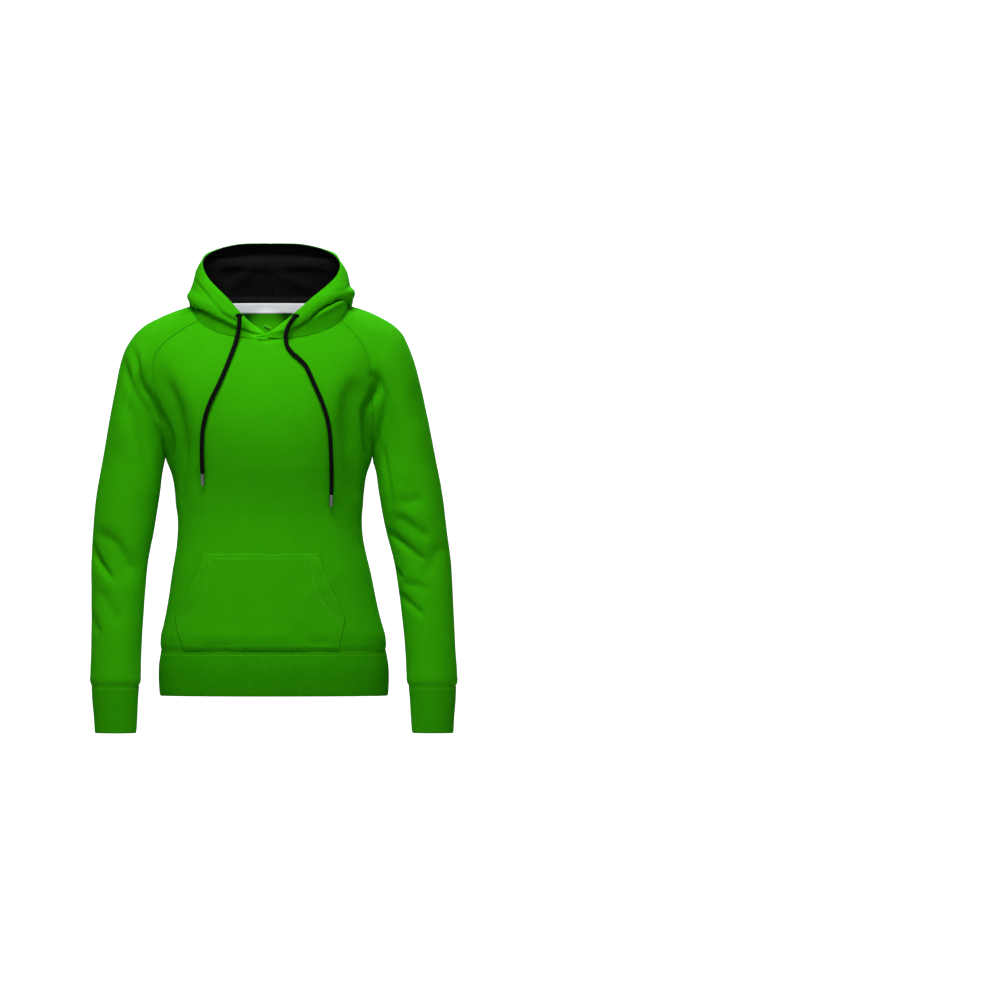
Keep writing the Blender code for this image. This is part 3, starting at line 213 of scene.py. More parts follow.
LINED_COLUMNS = 14  # hood columns that the lining covers, from the centre back
LEFT_LAPS_FROM = 13  # the left hood edge leaves the neckline at this column and laps over the right one
FRONT_SMOOTHING = 4  # passes that even out the hood's front profiles
LAP_REACH = 0.72  # how far past the centre front the left edge reaches, in hood columns
LAP_LIFT = FLEECE + SEAM_GAP + 0.0005

# A fold in the outer cloth, seen from the front or from the back: a line from one point to another, its half
# width, and its height (a trough is negative). panels are the pieces that it runs over.
Fold = namedtuple("Fold", "panels side x0 z0 x1 z1 half_width height")
FOLDS = [
    Fold("back", 1, 0.150, -0.270, 0.030, -0.500, 0.026, -0.010),
    Fold("back", 1, 0.100, -0.270, -0.010, -0.460, 0.030, 0.005),
    Fold("back", 1, 0.120, -0.165, 0.080, -0.270, 0.030, -0.005),
    Fold("back", 1, -0.125, -0.170, -0.110, -0.300, 0.030, -0.005),
    Fold("front", -1, 0.150, -0.110, 0.125, -0.230, 0.028, -0.007),
    Fold("front", -1, -0.160, -0.150, -0.120, -0.290, 0.028, -0.005),
    Fold("sleeve_right", -1, -0.248, -0.070, -0.195, -0.190, 0.026, -0.008),
    Fold("sleeve_right", -1, -0.298, -0.365, -0.235, -0.430, 0.024, -0.007),
    Fold("sleeve_right", 1, -0.240, -0.070, -0.200, -0.200, 0.026, -0.007),
    Fold("sleeve_right", 1, -0.200, -0.260, -0.262, -0.340, 0.024, -0.006),
    Fold("sleeve_left", -1, 0.200, -0.160, 0.240, -0.310, 0.026, -0.006),
    Fold("sleeve_left", -1, 0.196, -0.340, 0.280, -0.430, 0.024, -0.007),
    Fold("sleeve_left", 1, 0.225, -0.070, 0.200, -0.200, 0.026, -0.007),
    Fold("sleeve_left", 1, 0.195, -0.240, 0.255, -0.330, 0.024, -0.006),
]

# A fold in the hood, seen from behind, as above.
HoodFold = namedtuple("HoodFold", "x0 z0 x1 z1 half_width height")
HOOD_FOLDS = [
    HoodFold(0.136, 0.062, 0.066, -0.022, 0.016, -0.006),
    HoodFold(-0.112, 0.074, -0.050, -0.012, 0.020, -0.007),
]

# The kangaroo pocket, seen from the front: its half width at each height.
PocketEdge = namedtuple("PocketEdge", "z half_width")
POCKET = [
    PocketEdge(-0.388, 0.0935),
    PocketEdge(-0.396, 0.0975),
    PocketEdge(-0.488, 0.1385),
    PocketEdge(-0.497, 0.1405),
    PocketEdge(-0.544, 0.1285),
]
POCKET_X = -0.021

TAPE_UP = 0.008  # how far the neck tape reaches above the neck seam
TAPE_DOWN = 0.009

# Drawcords: points down each free end, from its eyelet to the metal tip, seen from the front.
CORD_D = 0.0070
CordPoint = namedtuple("CordPoint", "x z")
CORDS = {
    "right": [
        CordPoint(-0.0511, 0.0056), CordPoint(-0.0499, -0.0066), CordPoint(-0.0499, -0.0215),
        CordPoint(-0.0525, -0.0379), CordPoint(-0.0568, -0.0530), CordPoint(-0.0675, -0.0809),
        CordPoint(-0.0802, -0.1086), CordPoint(-0.0932, -0.1340), CordPoint(-0.1031, -0.1596),
        CordPoint(-0.1092, -0.1873), CordPoint(-0.1107, -0.2152), CordPoint(-0.1106, -0.2429),
        CordPoint(-0.1102, -0.2567),
    ],
    "left": [
        CordPoint(0.0433, 0.0046), CordPoint(0.0358, -0.0059), CordPoint(0.0302, -0.0190),
        CordPoint(0.0286, -0.0330), CordPoint(0.0318, -0.0465), CordPoint(0.0400, -0.0580),
        CordPoint(0.0507, -0.0672), CordPoint(0.0612, -0.0780), CordPoint(0.0684, -0.0920),
        CordPoint(0.0762, -0.1115), CordPoint(0.0852, -0.1330), CordPoint(0.0922, -0.1530),
        CordPoint(0.0975, -0.1740), CordPoint(0.1002, -0.1965), CordPoint(0.1013, -0.2244),
        CordPoint(0.1020, -0.2521), CordPoint(0.1019, -0.2775), CordPoint(0.1015, -0.2914),
    ],
}

BODY = ("front", "back", "sleeve_left", "sleeve_right")

# ---------------------------------------------------------------- the solids' own skin


def column(rows, name):
    return np.array([getattr(row, name) for row in rows], float)


def smooth_curve(keys, values, at):
    """The smooth curve through (keys, values), read at the places in at. Keys rise; it is flat past them."""
    keys = np.asarray(keys, float)
    values = np.asarray(values, float)
    at = np.clip(np.asarray(at, float), keys[0], keys[-1])
    slopes = np.gradient(values, keys, axis=0)
    i = np.clip(np.searchsorted(keys, at, side="right") - 1, 0, len(keys) - 2)
    span = keys[i + 1] - keys[i]
    t = (at - keys[i]) / span
    if values.ndim > 1:
        t = t[..., None]
        span = span[..., None]
    start = (2 * t**3 - 3 * t**2 + 1) * values[i] + (t**3 - 2 * t**2 + t) * span * slopes[i]
    end = (3 * t**2 - 2 * t**3) * values[i + 1] + (t**3 - t**2) * span * slopes[i + 1]
    return start + end


def read(rows, key, name, at, falling=False):
    """Column name of a table at the places at, where the column key rises, or falls if falling."""
    sign = -1 if falling else 1
    return smooth_curve(sign * column(rows, key), column(rows, name), sign * np.asarray(at, float))


def unit(vectors):
    return vectors / np.maximum(np.linalg.norm(vectors, axis=-1, keepdims=True), 1e-12)


def even_rows(start, end, rows):
    return np.linspace(start, end, rows + 1)


def torso_arc(across, half_width, side_y, centre_y, widest=math.pi / 2):
    """x and y over half a torso ring, for across from -1 to 1. widest is the angle at the arc's ends."""
    angle = np.asarray(across) * widest
    x = half_width * np.sin(angle) / math.sin(widest)
    y = side_y + (centre_y - side_y) * np.cos(angle).clip(0) ** ROUNDNESS
    return x, y


def yoke_panel(side):
    """Rows of the front (side -1) or back (side 1) panel, neckline to underarm, each right to left."""
    name = "front" if side < 0 else "back"
    rows = []
    across = np.linspace(-1, 1, TORSO_COLUMNS + 1)
    for at in even_rows(0, 1, YOKE_ROWS):
        wanted = (f"{name}_x", f"{name}_y", f"{name}_z", f"centre_{name}_z")
        seam_x, seam_y, seam_z, centre_z = (float(read(YOKE, "at", key, at)) for key in wanted)
        centre_y = float(read(TORSO, "z", f"{name}_y", centre_z, falling=True))
        side_y = float(read(TORSO, "z", "side_y", centre_z, falling=True))
        share = np.clip((seam_y - side_y) / (centre_y - side_y), 0, 1)
        widest = math.acos(share ** (1 / ROUNDNESS))
        x, y = torso_arc(across, seam_x, side_y, centre_y, widest)
        z = centre_z + (seam_z - centre_z) * np.abs(across) ** 2.2
        skew = float(read(YOKE, "at", "skew", at)) if side < 0 else 0.0
        rows.append(np.stack([x + skew * across**2, y, z], 1))
    return np.array(rows)


def torso_panel(side, table, start_z, end_z, rows):
    """Rows of a torso panel between two heights, right to left."""
    name = "front_y" if side < 0 else "back_y"
    across = np.linspace(-1, 1, TORSO_COLUMNS + 1)
    made = []
    for z in even_rows(start_z, end_z, rows):
        half_width, centre_y, side_y = (
            float(read(table, "z", key, z, falling=True)) for key in ("half_width", name, "side_y")
        )
        x, y = torso_arc(across, half_width, side_y, centre_y)
        made.append(np.stack([x, y, np.full_like(x, z)], 1))
    return np.array(made)


def yoke_sleeve(side):
    """Rows of a left sleeve from the neck to the underarm: each from the front raglan seam to the back."""
    rows = []
    for at in even_rows(0, 1, YOKE_ROWS):
        value = {name: float(read(YOKE, "at", name, at)) for name in YokeRound._fields}
        skew = value["skew"] if side == "left" else -value["skew"]
        front = np.array([value["front_x"] + skew, value["front_y"], value["front_z"]])
        back = np.array([value["back_x"], value["back_y"], value["back_z"]])
        depth = value["depth"]
        middle = (front + back) / 2
        half = np.linalg.norm(front - back) / 2
        forward = unit(front - back) if half > 0.002 else np.array([0.0, -1.0, 0.0])
        reach = np.array([value["top_x"], middle[1], value["top_z"]]) - middle
        half = min(half, depth)
        last = math.pi - math.asin(half / depth)
        radius = np.linalg.norm(reach) / (1 - math.cos(last))
        centre = middle + unit(reach) * (np.linalg.norm(reach) - radius)
        angle = np.linspace(last, -last, SLEEVE_COLUMNS + 1)[:, None]
        ring = centre + radius * np.cos(angle) * unit(reach) + depth * np.sin(angle) * forward
        ring[0] = front
        ring[-1] = back
        rows.append(ring)
    return np.array(rows)


def sleeve_rings(table, rows):
    """Closed rings of the left sleeve through a table, each from the underarm line round the front to it."""
    keys = np.arange(len(table), dtype=float)
    heights = -column(table, "inner_z")
    wanted = np.concatenate([np.linspace(heights[0], heights[-1], rows + 1)[:-1], heights[-1:]])
    at = np.interp(wanted, heights, keys)
    angle = np.linspace(math.pi, -math.pi, SLEEVE_COLUMNS + 1)[:, None]
    made = []
    for place in at:
        value = {name: float(smooth_curve(keys, column(table, name), place)) for name in SleeveRing._fields}
        inner = np.array([value["inner_x"], value["middle_y"], value["inner_z"]])
        outer = np.array([value["outer_x"], value["middle_y"], value["outer_z"]])
        lean = math.radians(value["lean"])
        forward = np.array([0.0, -math.cos(lean), math.sin(lean)])
        half = (outer - inner) / 2
        made.append((inner + outer) / 2 + np.cos(angle) * half + value["depth"] * np.sin(angle) * forward)
        made[-1][-1] = made[-1][0]
    return np.array(made)


def mirrored(grid):
    """The other side's grid: x turned round, and each row reversed so that its faces still point out."""
    return grid[:, ::-1] * np.array([-1.0, 1.0, 1.0])


def neckline(front, back, sleeve):
    """Half of the neckline, from centre back round the left shoulder to the centre front, as hood columns."""
    middle = TORSO_COLUMNS // 2
    per_back = middle // NECK_PER_BACK
    per_sleeve = SLEEVE_COLUMNS // NECK_PER_SLEEVE
    per_front = middle // NECK_PER_FRONT
    points = [back[0, middle + per_back * i] for i in range(NECK_PER_BACK + 1)]
    points += [sleeve[0, SLEEVE_COLUMNS - per_sleeve * i] for i in range(1, NECK_PER_SLEEVE + 1)]
    points += [front[0, TORSO_COLUMNS - per_front * i] for i in range(1, NECK_PER_FRONT + 1)]
    return np.array(points)


def straighten(row, step):
    """Moves the points between the hood's columns onto the straight line between them."""
    share = (np.arange(len(row)) % step)[:, None] / step
    first = np.arange(len(row)) // step * step
    last = np.minimum(first + step, len(row) - 1)
    return row[first] * (1 - share) + row[last] * share


def hood_controls(side, place, start, outward):
    """Control points of one hood profile on the left, from the neckline to the rim."""
    fall = {name: float(read(HOOD_FALL[side], "column", name, place)) for name in HoodFall._fields}
    edge = {name: float(read(HOOD_EDGE[side], "column", name, place)) for name in HoodEdge._fields}
    fold = np.array([fall["fold_x"], fall["fold_y"], fall["fold_z"]])
    crease = np.array([edge["crease_x"], edge["crease_y"], edge["crease_z"]])
    rim = np.array([edge["rim_x"], edge["rim_y"], edge["rim_z"]])
    up = np.array([0.0, 0.0, 1.0])
    stand, out, lip = fall["stand"], fall["out"], fall["lip"]
    over_stand = start + up * (stand - fall["drop"]) + outward * out
    return np.array(
        [
            start,
            start + up * stand * 0.65,
            start + up * stand + outward * out * 0.5,
            over_stand,
            over_stand * 0.45 + fold * 0.55,
            fold + up * fall["near"] - outward * lip * 0.5,
            fold,
            fold + up * lip * 0.6 + outward * lip * 1.0,
            fold * 0.7 + crease * 0.3 + outward * (edge["swell"] * 0.9 + lip * 0.7),
            fold * 0.3 + crease * 0.7 + outward * edge["swell"] * 0.8,
            crease,
            crease * 0.6 + rim * 0.4 + unit(outward + up * 0.2) * edge["roll"],
            rim * 0.75 + crease * 0.25 + unit(outward + up * 0.6) * edge["roll"] * 0.9,
            rim,
        ]
    )


def hood_half(side, neck, body):
    """Profiles of one hood half, on the left, from centre back to front. body is a tree of the skin."""
    share = np.array([0, 0.06, 0.12, 0.18, 0.28, 0.37, 0.43, 0.49, 0.60, 0.72, 0.81, 0.88, 0.95, 1.0])
    lapped = neck[-1] * (1 - LAP_REACH) + neck[-2] * LAP_REACH
    beyond = np.array([lapped, neck[-2]]) * np.array([-1, 1, 1])
    ring = np.concatenate([neck[1:2] * np.array([-1, 1, 1]), neck, beyond])
    rows = []
    for place in range(int(HOOD_FALL[side][-1].column) + 1):
        along = ring[place + 2] - ring[place]
        outward = unit(np.array([-along[1], along[0], 0.0]))
        controls = hood_controls(side, place, ring[place + 1], outward)
        if place >= len(neck) - 1:
            controls = controls[0] + share[:, None] * (controls[-1] - controls[0])
        rows.append(smooth_curve(share, controls, np.linspace(0, 1, HOOD_ROWS + 1)))
    grid = np.array(rows).transpose(1, 0, 2)
    front = slice(NECK_PER_BACK + 1, None)
    for _ in range(FRONT_SMOOTHING):
        grid[1:-1, front] = (grid[:-2, front] + 2 * grid[1:-1, front] + grid[2:, front]) / 4
    behind = slice(0, NECK_PER_BACK + NECK_PER_SLEEVE)
    grid[:, behind] = rest_on(grid[:, behind], body, FLEECE + SEAM_GAP + 0.0010)
    return lap_over(grid) if side == "left" else grid


def lap_over(grid):
    """Lifts the left hood's front end off the right one, and its lower edge off the front panel."""
    lifted = grid.copy()
    for place in range(LEFT_LAPS_FROM + 1, grid.shape[1]):
        lifted[:, place, 1] -= LAP_LIFT * 1.6
        lifted[:, place, 2] += 0.0035 * np.linspace(1, 0, grid.shape[0])
    return lifted


def rest_on(grid, tree, clearance):
    """Moves the grid's points that are nearer the body than clearance out to it. The first row is sewn on."""
    moved = grid.copy()
    for i in range(1, grid.shape[0]):
        for j in range(grid.shape[1]):
            point = Vector(moved[i, j])
            foot, normal, _, distance = tree.find_nearest(point)
            height = (point - foot).dot(normal)
            beside = distance > 0.001 and abs(height) < 0.93 * distance
            if not beside and distance < 0.05 and height < clearance:
                moved[i, j] = np.array(point + normal * (clearance - height))
    return moved


class Skin:
    """The welded mid-surface of all the outer cloth, with the piece that owns each face."""

    def __init__(self):
        self.grids = []
        self.names = []

    def add(self, name, grid):
        self.names.append(name)
        self.grids.append(grid)
        return len(self.grids) - 1

    def weld(self):
        points = np.concatenate([grid.reshape(-1, 3) for grid in self.grids])
        _, first, self.index = np.unique(np.round(points, 7), axis=0, return_index=True, return_inverse=True)
        self.points = points[first]
        self.index = self.index.ravel()
        self.maps = []
        self.quads = []
        self.owner = []
        start = 0
        for name, grid in zip(self.names, self.grids):
            size = grid.shape[0] * grid.shape[1]
            ids = self.index[start : start + size].reshape(grid.shape[:2])
            start += size
            self.maps.append(ids)
            quads = np.stack([ids[:-1, :-1], ids[1:, :-1], ids[1:, 1:], ids[:-1, 1:]], -1).reshape(-1, 4)
            self.quads.append(quads)
            self.owner += [name] * len(quads)
        self.quads = np.concatenate(self.quads)
        self.owner = np.array(self.owner)

    def smooth(self, weight, passes):
        """Moves points towards the mean of their neighbours, by weight from 0 to 1."""
        a = self.quads.ravel()
        b = np.roll(self.quads, -1, axis=1).ravel()
        for _ in range(passes):
            total = np.zeros_like(self.points)
            count = np.zeros(len(self.points))
            for one, other in ((a, b), (b, a)):
                np.add.at(total, one, self.points[other])
                np.add.at(count, one, 1)
            mean = total / np.maximum(count, 1)[:, None]
            self.points += (mean - self.points) * weight[:, None] * 0.5

    def normals(self):
        corners = self.points[self.quads]
        face = np.cross(corners[:, 2] - corners[:, 0], corners[:, 3] - corners[:, 1])
        total = np.zeros_like(self.points)
        for corner in range(4):
            np.add.at(total, self.quads[:, corner], face)
        return unit(total)

    def points_of(self, *names):
        """Which points belong to the pieces with these names."""
        mine = np.zeros(len(self.points), bool)
        mine[self.quads[np.isin(self.owner, names)]] = True
        return mine

    def tree(self):
        return BVHTree.FromPolygons([Vector(p) for p in self.points], self.quads.tolist())


def faced(normals, side, spread=0.0):
    """How much each normal faces the front (side -1) or the back (side 1), from 0 to 1."""
    return np.clip(normals[..., 1] * side * 2.0 + spread, 0, 1)


def fold_height(points, folds):
    """How far the folds move each point, seen along Y: soft ridges and troughs that die out at both ends."""
    total = np.zeros(len(points))
    for fold in folds:
        start = np.array([fold.x0, fold.z0])
        along = np.array([fold.x1, fold.z1]) - start
        flat = points[:, [0, 2]] - start
        share = flat @ along / (along @ along)
        nearest = np.clip(share, 0, 1)
        distance = np.linalg.norm(flat - nearest[:, None] * along, axis=1)
        ends = np.sin(np.pi * np.clip(share * 0.8 + 0.1, 0, 1)) ** 0.8
        total += fold.height * ends * np.exp(-((distance / fold.half_width) ** 2))
    return total


def apply_folds(skin):
    """Presses the folds into the outer cloth."""
    normals = skin.normals()
    move = np.zeros(len(skin.points))
    for fold in FOLDS:
        weight = np.where(skin.points_of(fold.panels), faced(normals, fold.side), 0)
        move += weight * fold_height(skin.points, [fold])
    skin.points += normals * move[:, None]


def swayed(points):
    moved = np.array(points, float)
    moved[:, 0] += smooth_curve(-column(SWAY, "z"), column(SWAY, "shift"), -moved[:, 2])
    return moved


def front_point(tree, x, z):
    """The point of the skin seen at (x, z) from the front, and the outward normal there."""
    foot, normal, _, _ = tree.ray_cast(Vector((x, -0.5, z)), Vector((0, 1, 0)))
    return np.array(foot), np.array(normal)


def cord_line(side, tree):
    """Points of a drawcord's free end: over the hood's band, then down on the chest."""
    chosen = CORDS[side]
    keys = np.arange(len(chosen), dtype=float)
    at_keys = np.linspace(0, keys[-1], 2 * len(chosen) + 3)
    xs = smooth_curve(keys, column(chosen, "x"), at_keys)
    zs = smooth_curve(keys, column(chosen, "z"), at_keys)
    clears = FLEECE / 2 + SEAM_GAP + CORD_D / 2 + np.linspace(0.0006, 0.0020, len(xs))
    line = np.array([[x, front_point(tree, x, z)[0][1] - clear, z] for x, z, clear in zip(xs, zs, clears)])
    for _ in range(8):
        soft = line[:, 1].copy()
        soft[1:-1] = (line[:-2, 1] + line[1:-1, 1] * 2 + line[2:, 1]) / 4
        line[:, 1] = np.minimum(line[:, 1], soft)
        for i, point in enumerate(line):
            _, _, _, distance = tree.find_nearest(Vector(point))
            if distance < clears[i]:
                line[i, 1] -= (clears[i] - distance) * 1.2
    return line


def body_grids():
    """Grids of the outer cloth below the neck. Rows run down; columns run so that faces point out."""
    front = np.concatenate([yoke_panel(-1), torso_panel(-1, TORSO, UNDERARM_Z, HEM_SEAM_Z, TORSO_ROWS)[1:]])
    back = np.concatenate([yoke_panel(1), torso_panel(1, TORSO, UNDERARM_Z, HEM_SEAM_Z, TORSO_ROWS)[1:]])
    lower = sleeve_rings(SLEEVE, SLEEVE_ROWS)[1:]
    sleeves = {side: np.concatenate([yoke_sleeve(side), lower]) for side in ("left", "right")}
    band = [torso_panel(side, HEM_BAND, HEM_SEAM_Z, HEM_Z, BAND_ROWS) for side in (-1, 1)]
    cuff = sleeve_rings(CUFF, BAND_ROWS)
    return front, back, sleeves, band, cuff


def join_seams(front, back, sleeves, band, cuff):
    """Gives pieces that are sewn together the same points along their seams."""
    seam = YOKE_ROWS + 1
    for side, edge in (("left", -1), ("right", 0)):
        mirror = np.array([1.0 if side == "left" else -1.0, 1.0, 1.0])
        front[:seam, edge] = sleeves[side][:seam, 0] * mirror
        back[:seam, edge] = sleeves[side][:seam, -1] * mirror
        sleeves[side][YOKE_ROWS, 0] = sleeves[side][YOKE_ROWS, -1]
        front[YOKE_ROWS, edge] = sleeves[side][YOKE_ROWS, 0] * mirror
        back[YOKE_ROWS:, edge] = front[YOKE_ROWS:, edge]
        sleeves[side][YOKE_ROWS:, -1] = sleeves[side][YOKE_ROWS:, 0]
    band[0][0] = front[-1]
    band[1][0] = back[-1]
    for edge in (0, -1):
        band[1][:, edge] = band[0][:, edge]
    cuff[0] = sleeves["left"][-1]
    cuff[:, -1] = cuff[:, 0]


def straighten_neckline(front, back, sleeves):
    half = TORSO_COLUMNS // 2
    front[0] = straighten(front[0], half // NECK_PER_FRONT)
    back[0] = straighten(back[0], half // NECK_PER_BACK)
    for sleeve in sleeves.values():
        sleeve[0] = straighten(sleeve[0], SLEEVE_COLUMNS // NECK_PER_SLEEVE)


def build_skin():
    """The outer cloth as one welded skin, and the number of each grid in it."""
    front, back, sleeves, band, cuff = body_grids()
    join_seams(front, back, sleeves, band, cuff)
    straighten_neckline(front, back, sleeves)
    neck = neckline(front, back, sleeves["left"])
    skin = Skin()
    ids = {}
    ids["front"] = skin.add("front", front)
    ids["back"] = skin.add("back", back[:, ::-1])
    ids["sleeve_left"] = skin.add("sleeve_left", sleeves["left"])
    ids["sleeve_right"] = skin.add("sleeve_right", mirrored(sleeves["right"]))
    body = Skin()
    for name in ids:
        body.add(name, skin.grids[ids[name]])
    body.weld()
    skin.add("hem_band", band[0])
    skin.add("hem_band", band[1][:, ::-1])
    skin.add("cuff_left", cuff)
    skin.add("cuff_right", mirrored(cuff))
    ids["hood_left"] = skin.add("hood_left", hood_half("left", neck, body.tree()))
    ids["hood_right"] = skin.add("hood_right", mirrored(hood_half("right", neck, body.tree())))
    skin.weld()
    soften_underarm(skin)
    apply_folds(skin)
    return skin, ids


def soften_underarm(skin):
    """Rounds the crease where sleeves meet the body, most at the underarm. Band and hood seams stay put."""
    reach = (np.abs(skin.points) - np.array([0.175, 0.0, 0.180])) / np.array([0.05, 0.10, 0.09])
    weight = np.clip(1.4 - np.linalg.norm(reach, axis=1), 0, 1)
    below_neck = skin.points_of(*BODY) & (skin.points[:, 2] < -0.03)
    skin.smooth(np.where(below_neck, weight, 0), SHOULDER_SMOOTHING)


def fold_hood(skin, ids):
    """Presses the hood's V folds into its outer, lower layer."""
    normals = skin.normals()
    for name in ("hood_left", "hood_right"):
        outer_rows = skin.maps[ids[name]][HOOD_ROWS // 2 :]
        mine = np.unique(outer_rows)
        move = faced(normals[mine], 1) * fold_height(skin.points[mine], HOOD_FOLDS)
        skin.points[mine] += normals[mine] * move[:, None]


# ---------------------------------------------------------------- the skin read finely

PER_CELL = 6  # fine cells for each of the solids' cells
SEAM_PLACES = (0.025, 0.05, 0.075, 0.1, 0.13, 0.2)  # extra fine lines beside a seam, in the solids' cells
RIM_PLACES = (0.02, 0.05, 0.09, 0.15, 0.22)  # extra fine lines beside a rolled edge
HOOD_PER_CELL = 6


def places(cells, per_cell, first, last):
    """Fine places along a side: per_cell in each cell, and extra ones beside its first and last ends."""
    even = np.arange(cells * per_cell + 1) / per_cell
    return np.unique(np.round(np.concatenate([even, first, cells - np.array(last, float)]), 5))


def down(grid, at, before=None, after=None):
    """The grid read smoothly at places down its rows; before and after are rows beyond its ends, if any."""
    beyond = [row if row is None else row[None] for row in (before, after)]
    joined = np.concatenate([part for part in (beyond[0], grid, beyond[1]) if part is not None])
    start = 0 if before is None else 1
    read_at = smooth_curve(np.arange(len(joined)), joined.reshape(len(joined), -1), np.asarray(at) + start)
    return read_at.reshape(len(at), *grid.shape[1:])


def across(grid, at, before=None, after=None):
    return down(grid.swapaxes(0, 1), at, before, after).swapaxes(0, 1)


def draw_together(one, one_edge, other, other_edge, rows, width):
    """Brings two grids' edges to one line along rows, and draws the columns beside them along."""
    mean = (one[rows, one_edge] + other[rows, other_edge]) / 2
    for grid, edge in ((one, one_edge), (other, other_edge)):
        move = mean - grid[rows, edge]
        for step in range(width):
            column_at = edge + step if edge >= 0 else edge - step
            grid[rows, column_at] += move * (1 - step / width) ** 2


class Piece:
    """A fine grid with its places, and what is worked out on it."""

    def __init__(self, grid, rows, columns):
        self.grid = grid
        self.rows = rows
        self.columns = columns
        self.normals = None


def ring_normals(grid):
    """Outward normals of a closed grid. Its rows run down, and its columns right to left from outside."""
    wide = np.concatenate([grid[:, -2:-1], grid, grid[:, 1:2]], axis=1)
    return unit(np.cross(np.gradient(grid, axis=0), wide[:, 2:] - wide[:, :-2]))


def neck_ring(skin, ids, side):
    """The neckline on one side by hood column, from one past the centre back to one past the front."""
    points = {name: skin.points[skin.maps[ids[name]][0]] for name in ids if "hood" not in name}
    middle = TORSO_COLUMNS // 2
    per_back, per_front = middle // NECK_PER_BACK, middle // NECK_PER_FRONT
    per_sleeve = SLEEVE_COLUMNS // NECK_PER_SLEEVE
    front, back, sleeve = points["front"], points["back"], points[f"sleeve_{side}"]
    if side == "right":
        front, back, sleeve = front[::-1], back[::-1], sleeve[::-1]
    ring = [back[middle - per_back * i] for i in range(-1, NECK_PER_BACK + 1)]
    ring += [sleeve[SLEEVE_COLUMNS - per_sleeve * i] for i in range(1, NECK_PER_SLEEVE + 1)]
    ring += [front[SLEEVE_COLUMNS - per_front * i] for i in range(1, NECK_PER_FRONT + 2)]
    return np.array(ring)


def neck_at(ring, place):
    return smooth_curve(np.arange(-1, len(ring) - 1), ring, place)


def fine_pieces(skin, ids):
    """Fine grids of the pieces that share the skin, joined along their seams."""
    coarse = {name: skin.points[skin.maps[i]] for name, i in ids.items()}
    front, back = coarse["front"], coarse["back"]
    left, right = coarse["sleeve_left"], coarse["sleeve_right"]
    seam = YOKE_ROWS

    def beside(yoke, lower):
        return np.concatenate([yoke[:seam], lower[seam:]])

    rows = places(YOKE_ROWS + TORSO_ROWS, PER_CELL, RIM_PLACES, SEAM_PLACES)
    columns = places(TORSO_COLUMNS, PER_CELL, SEAM_PLACES, SEAM_PLACES)
    sleeve_rows = places(YOKE_ROWS + SLEEVE_ROWS, PER_CELL, RIM_PLACES, SEAM_PLACES)
    sleeve_columns = places(SLEEVE_COLUMNS, PER_CELL, SEAM_PLACES, SEAM_PLACES)
    around = {
        "front": (beside(right[: len(front), -2], back[:, -2]), beside(left[: len(front), 1], back[:, 1])),
        "back": (beside(left[: len(front), -2], front[:, -2]), beside(right[: len(front), 1], front[:, 1])),
        "sleeve_left": (beside(front[:, -2], left[:, -2]), beside(back[:, 1], left[:, 1])),
        "sleeve_right": (beside(back[:, -2], right[:, -2]), beside(front[:, 1], right[:, 1])),
    }
    made = {}
    for name, (before, after) in around.items():
        of_sleeve = name.startswith("sleeve")
        at_rows, at_columns = (sleeve_rows, sleeve_columns) if of_sleeve else (rows, columns)
        grid = down(across(coarse[name], at_columns, before, after), at_rows)
        made[name] = Piece(grid, at_rows, at_columns)
    match_seams(made)
    for side in ("left", "right"):
        name = f"hood_{side}"
        other = coarse["hood_right" if side == "left" else "hood_left"]
        pads = (other[:, -2], None) if side == "left" else (None, other[:, 1])
        at_rows = places(HOOD_ROWS, HOOD_PER_CELL, SEAM_PLACES, RIM_PLACES)
        at_columns = places(coarse[name].shape[1] - 1, HOOD_PER_CELL, SEAM_PLACES, SEAM_PLACES)
        made[name] = Piece(down(across(coarse[name], at_columns, *pads), at_rows), at_rows, at_columns)
    match_neck(made, skin, ids)
    return made


def match_seams(made):
    """Raglan, side and sleeve seams: the grids on both sides get one line."""
    front, back = made["front"].grid, made["back"].grid
    yoke = int(np.searchsorted(made["front"].rows, YOKE_ROWS)) + 1
    below = slice(yoke - 1, yoke - 1 + PER_CELL + 1)
    for sleeve, edges in (("sleeve_left", (-1, 0)), ("sleeve_right", (0, -1))):
        grid = made[sleeve].grid
        front_edge, back_edge = edges
        first, last = (0, -1) if sleeve == "sleeve_left" else (-1, 0)
        draw_together(front, front_edge, grid, first, slice(0, yoke), PER_CELL)
        draw_together(back, back_edge, grid, last, slice(0, yoke), PER_CELL)
        draw_together(front, front_edge, back, back_edge, slice(yoke - 1, None), PER_CELL)
        draw_together(grid, 0, grid, -1, below, PER_CELL)


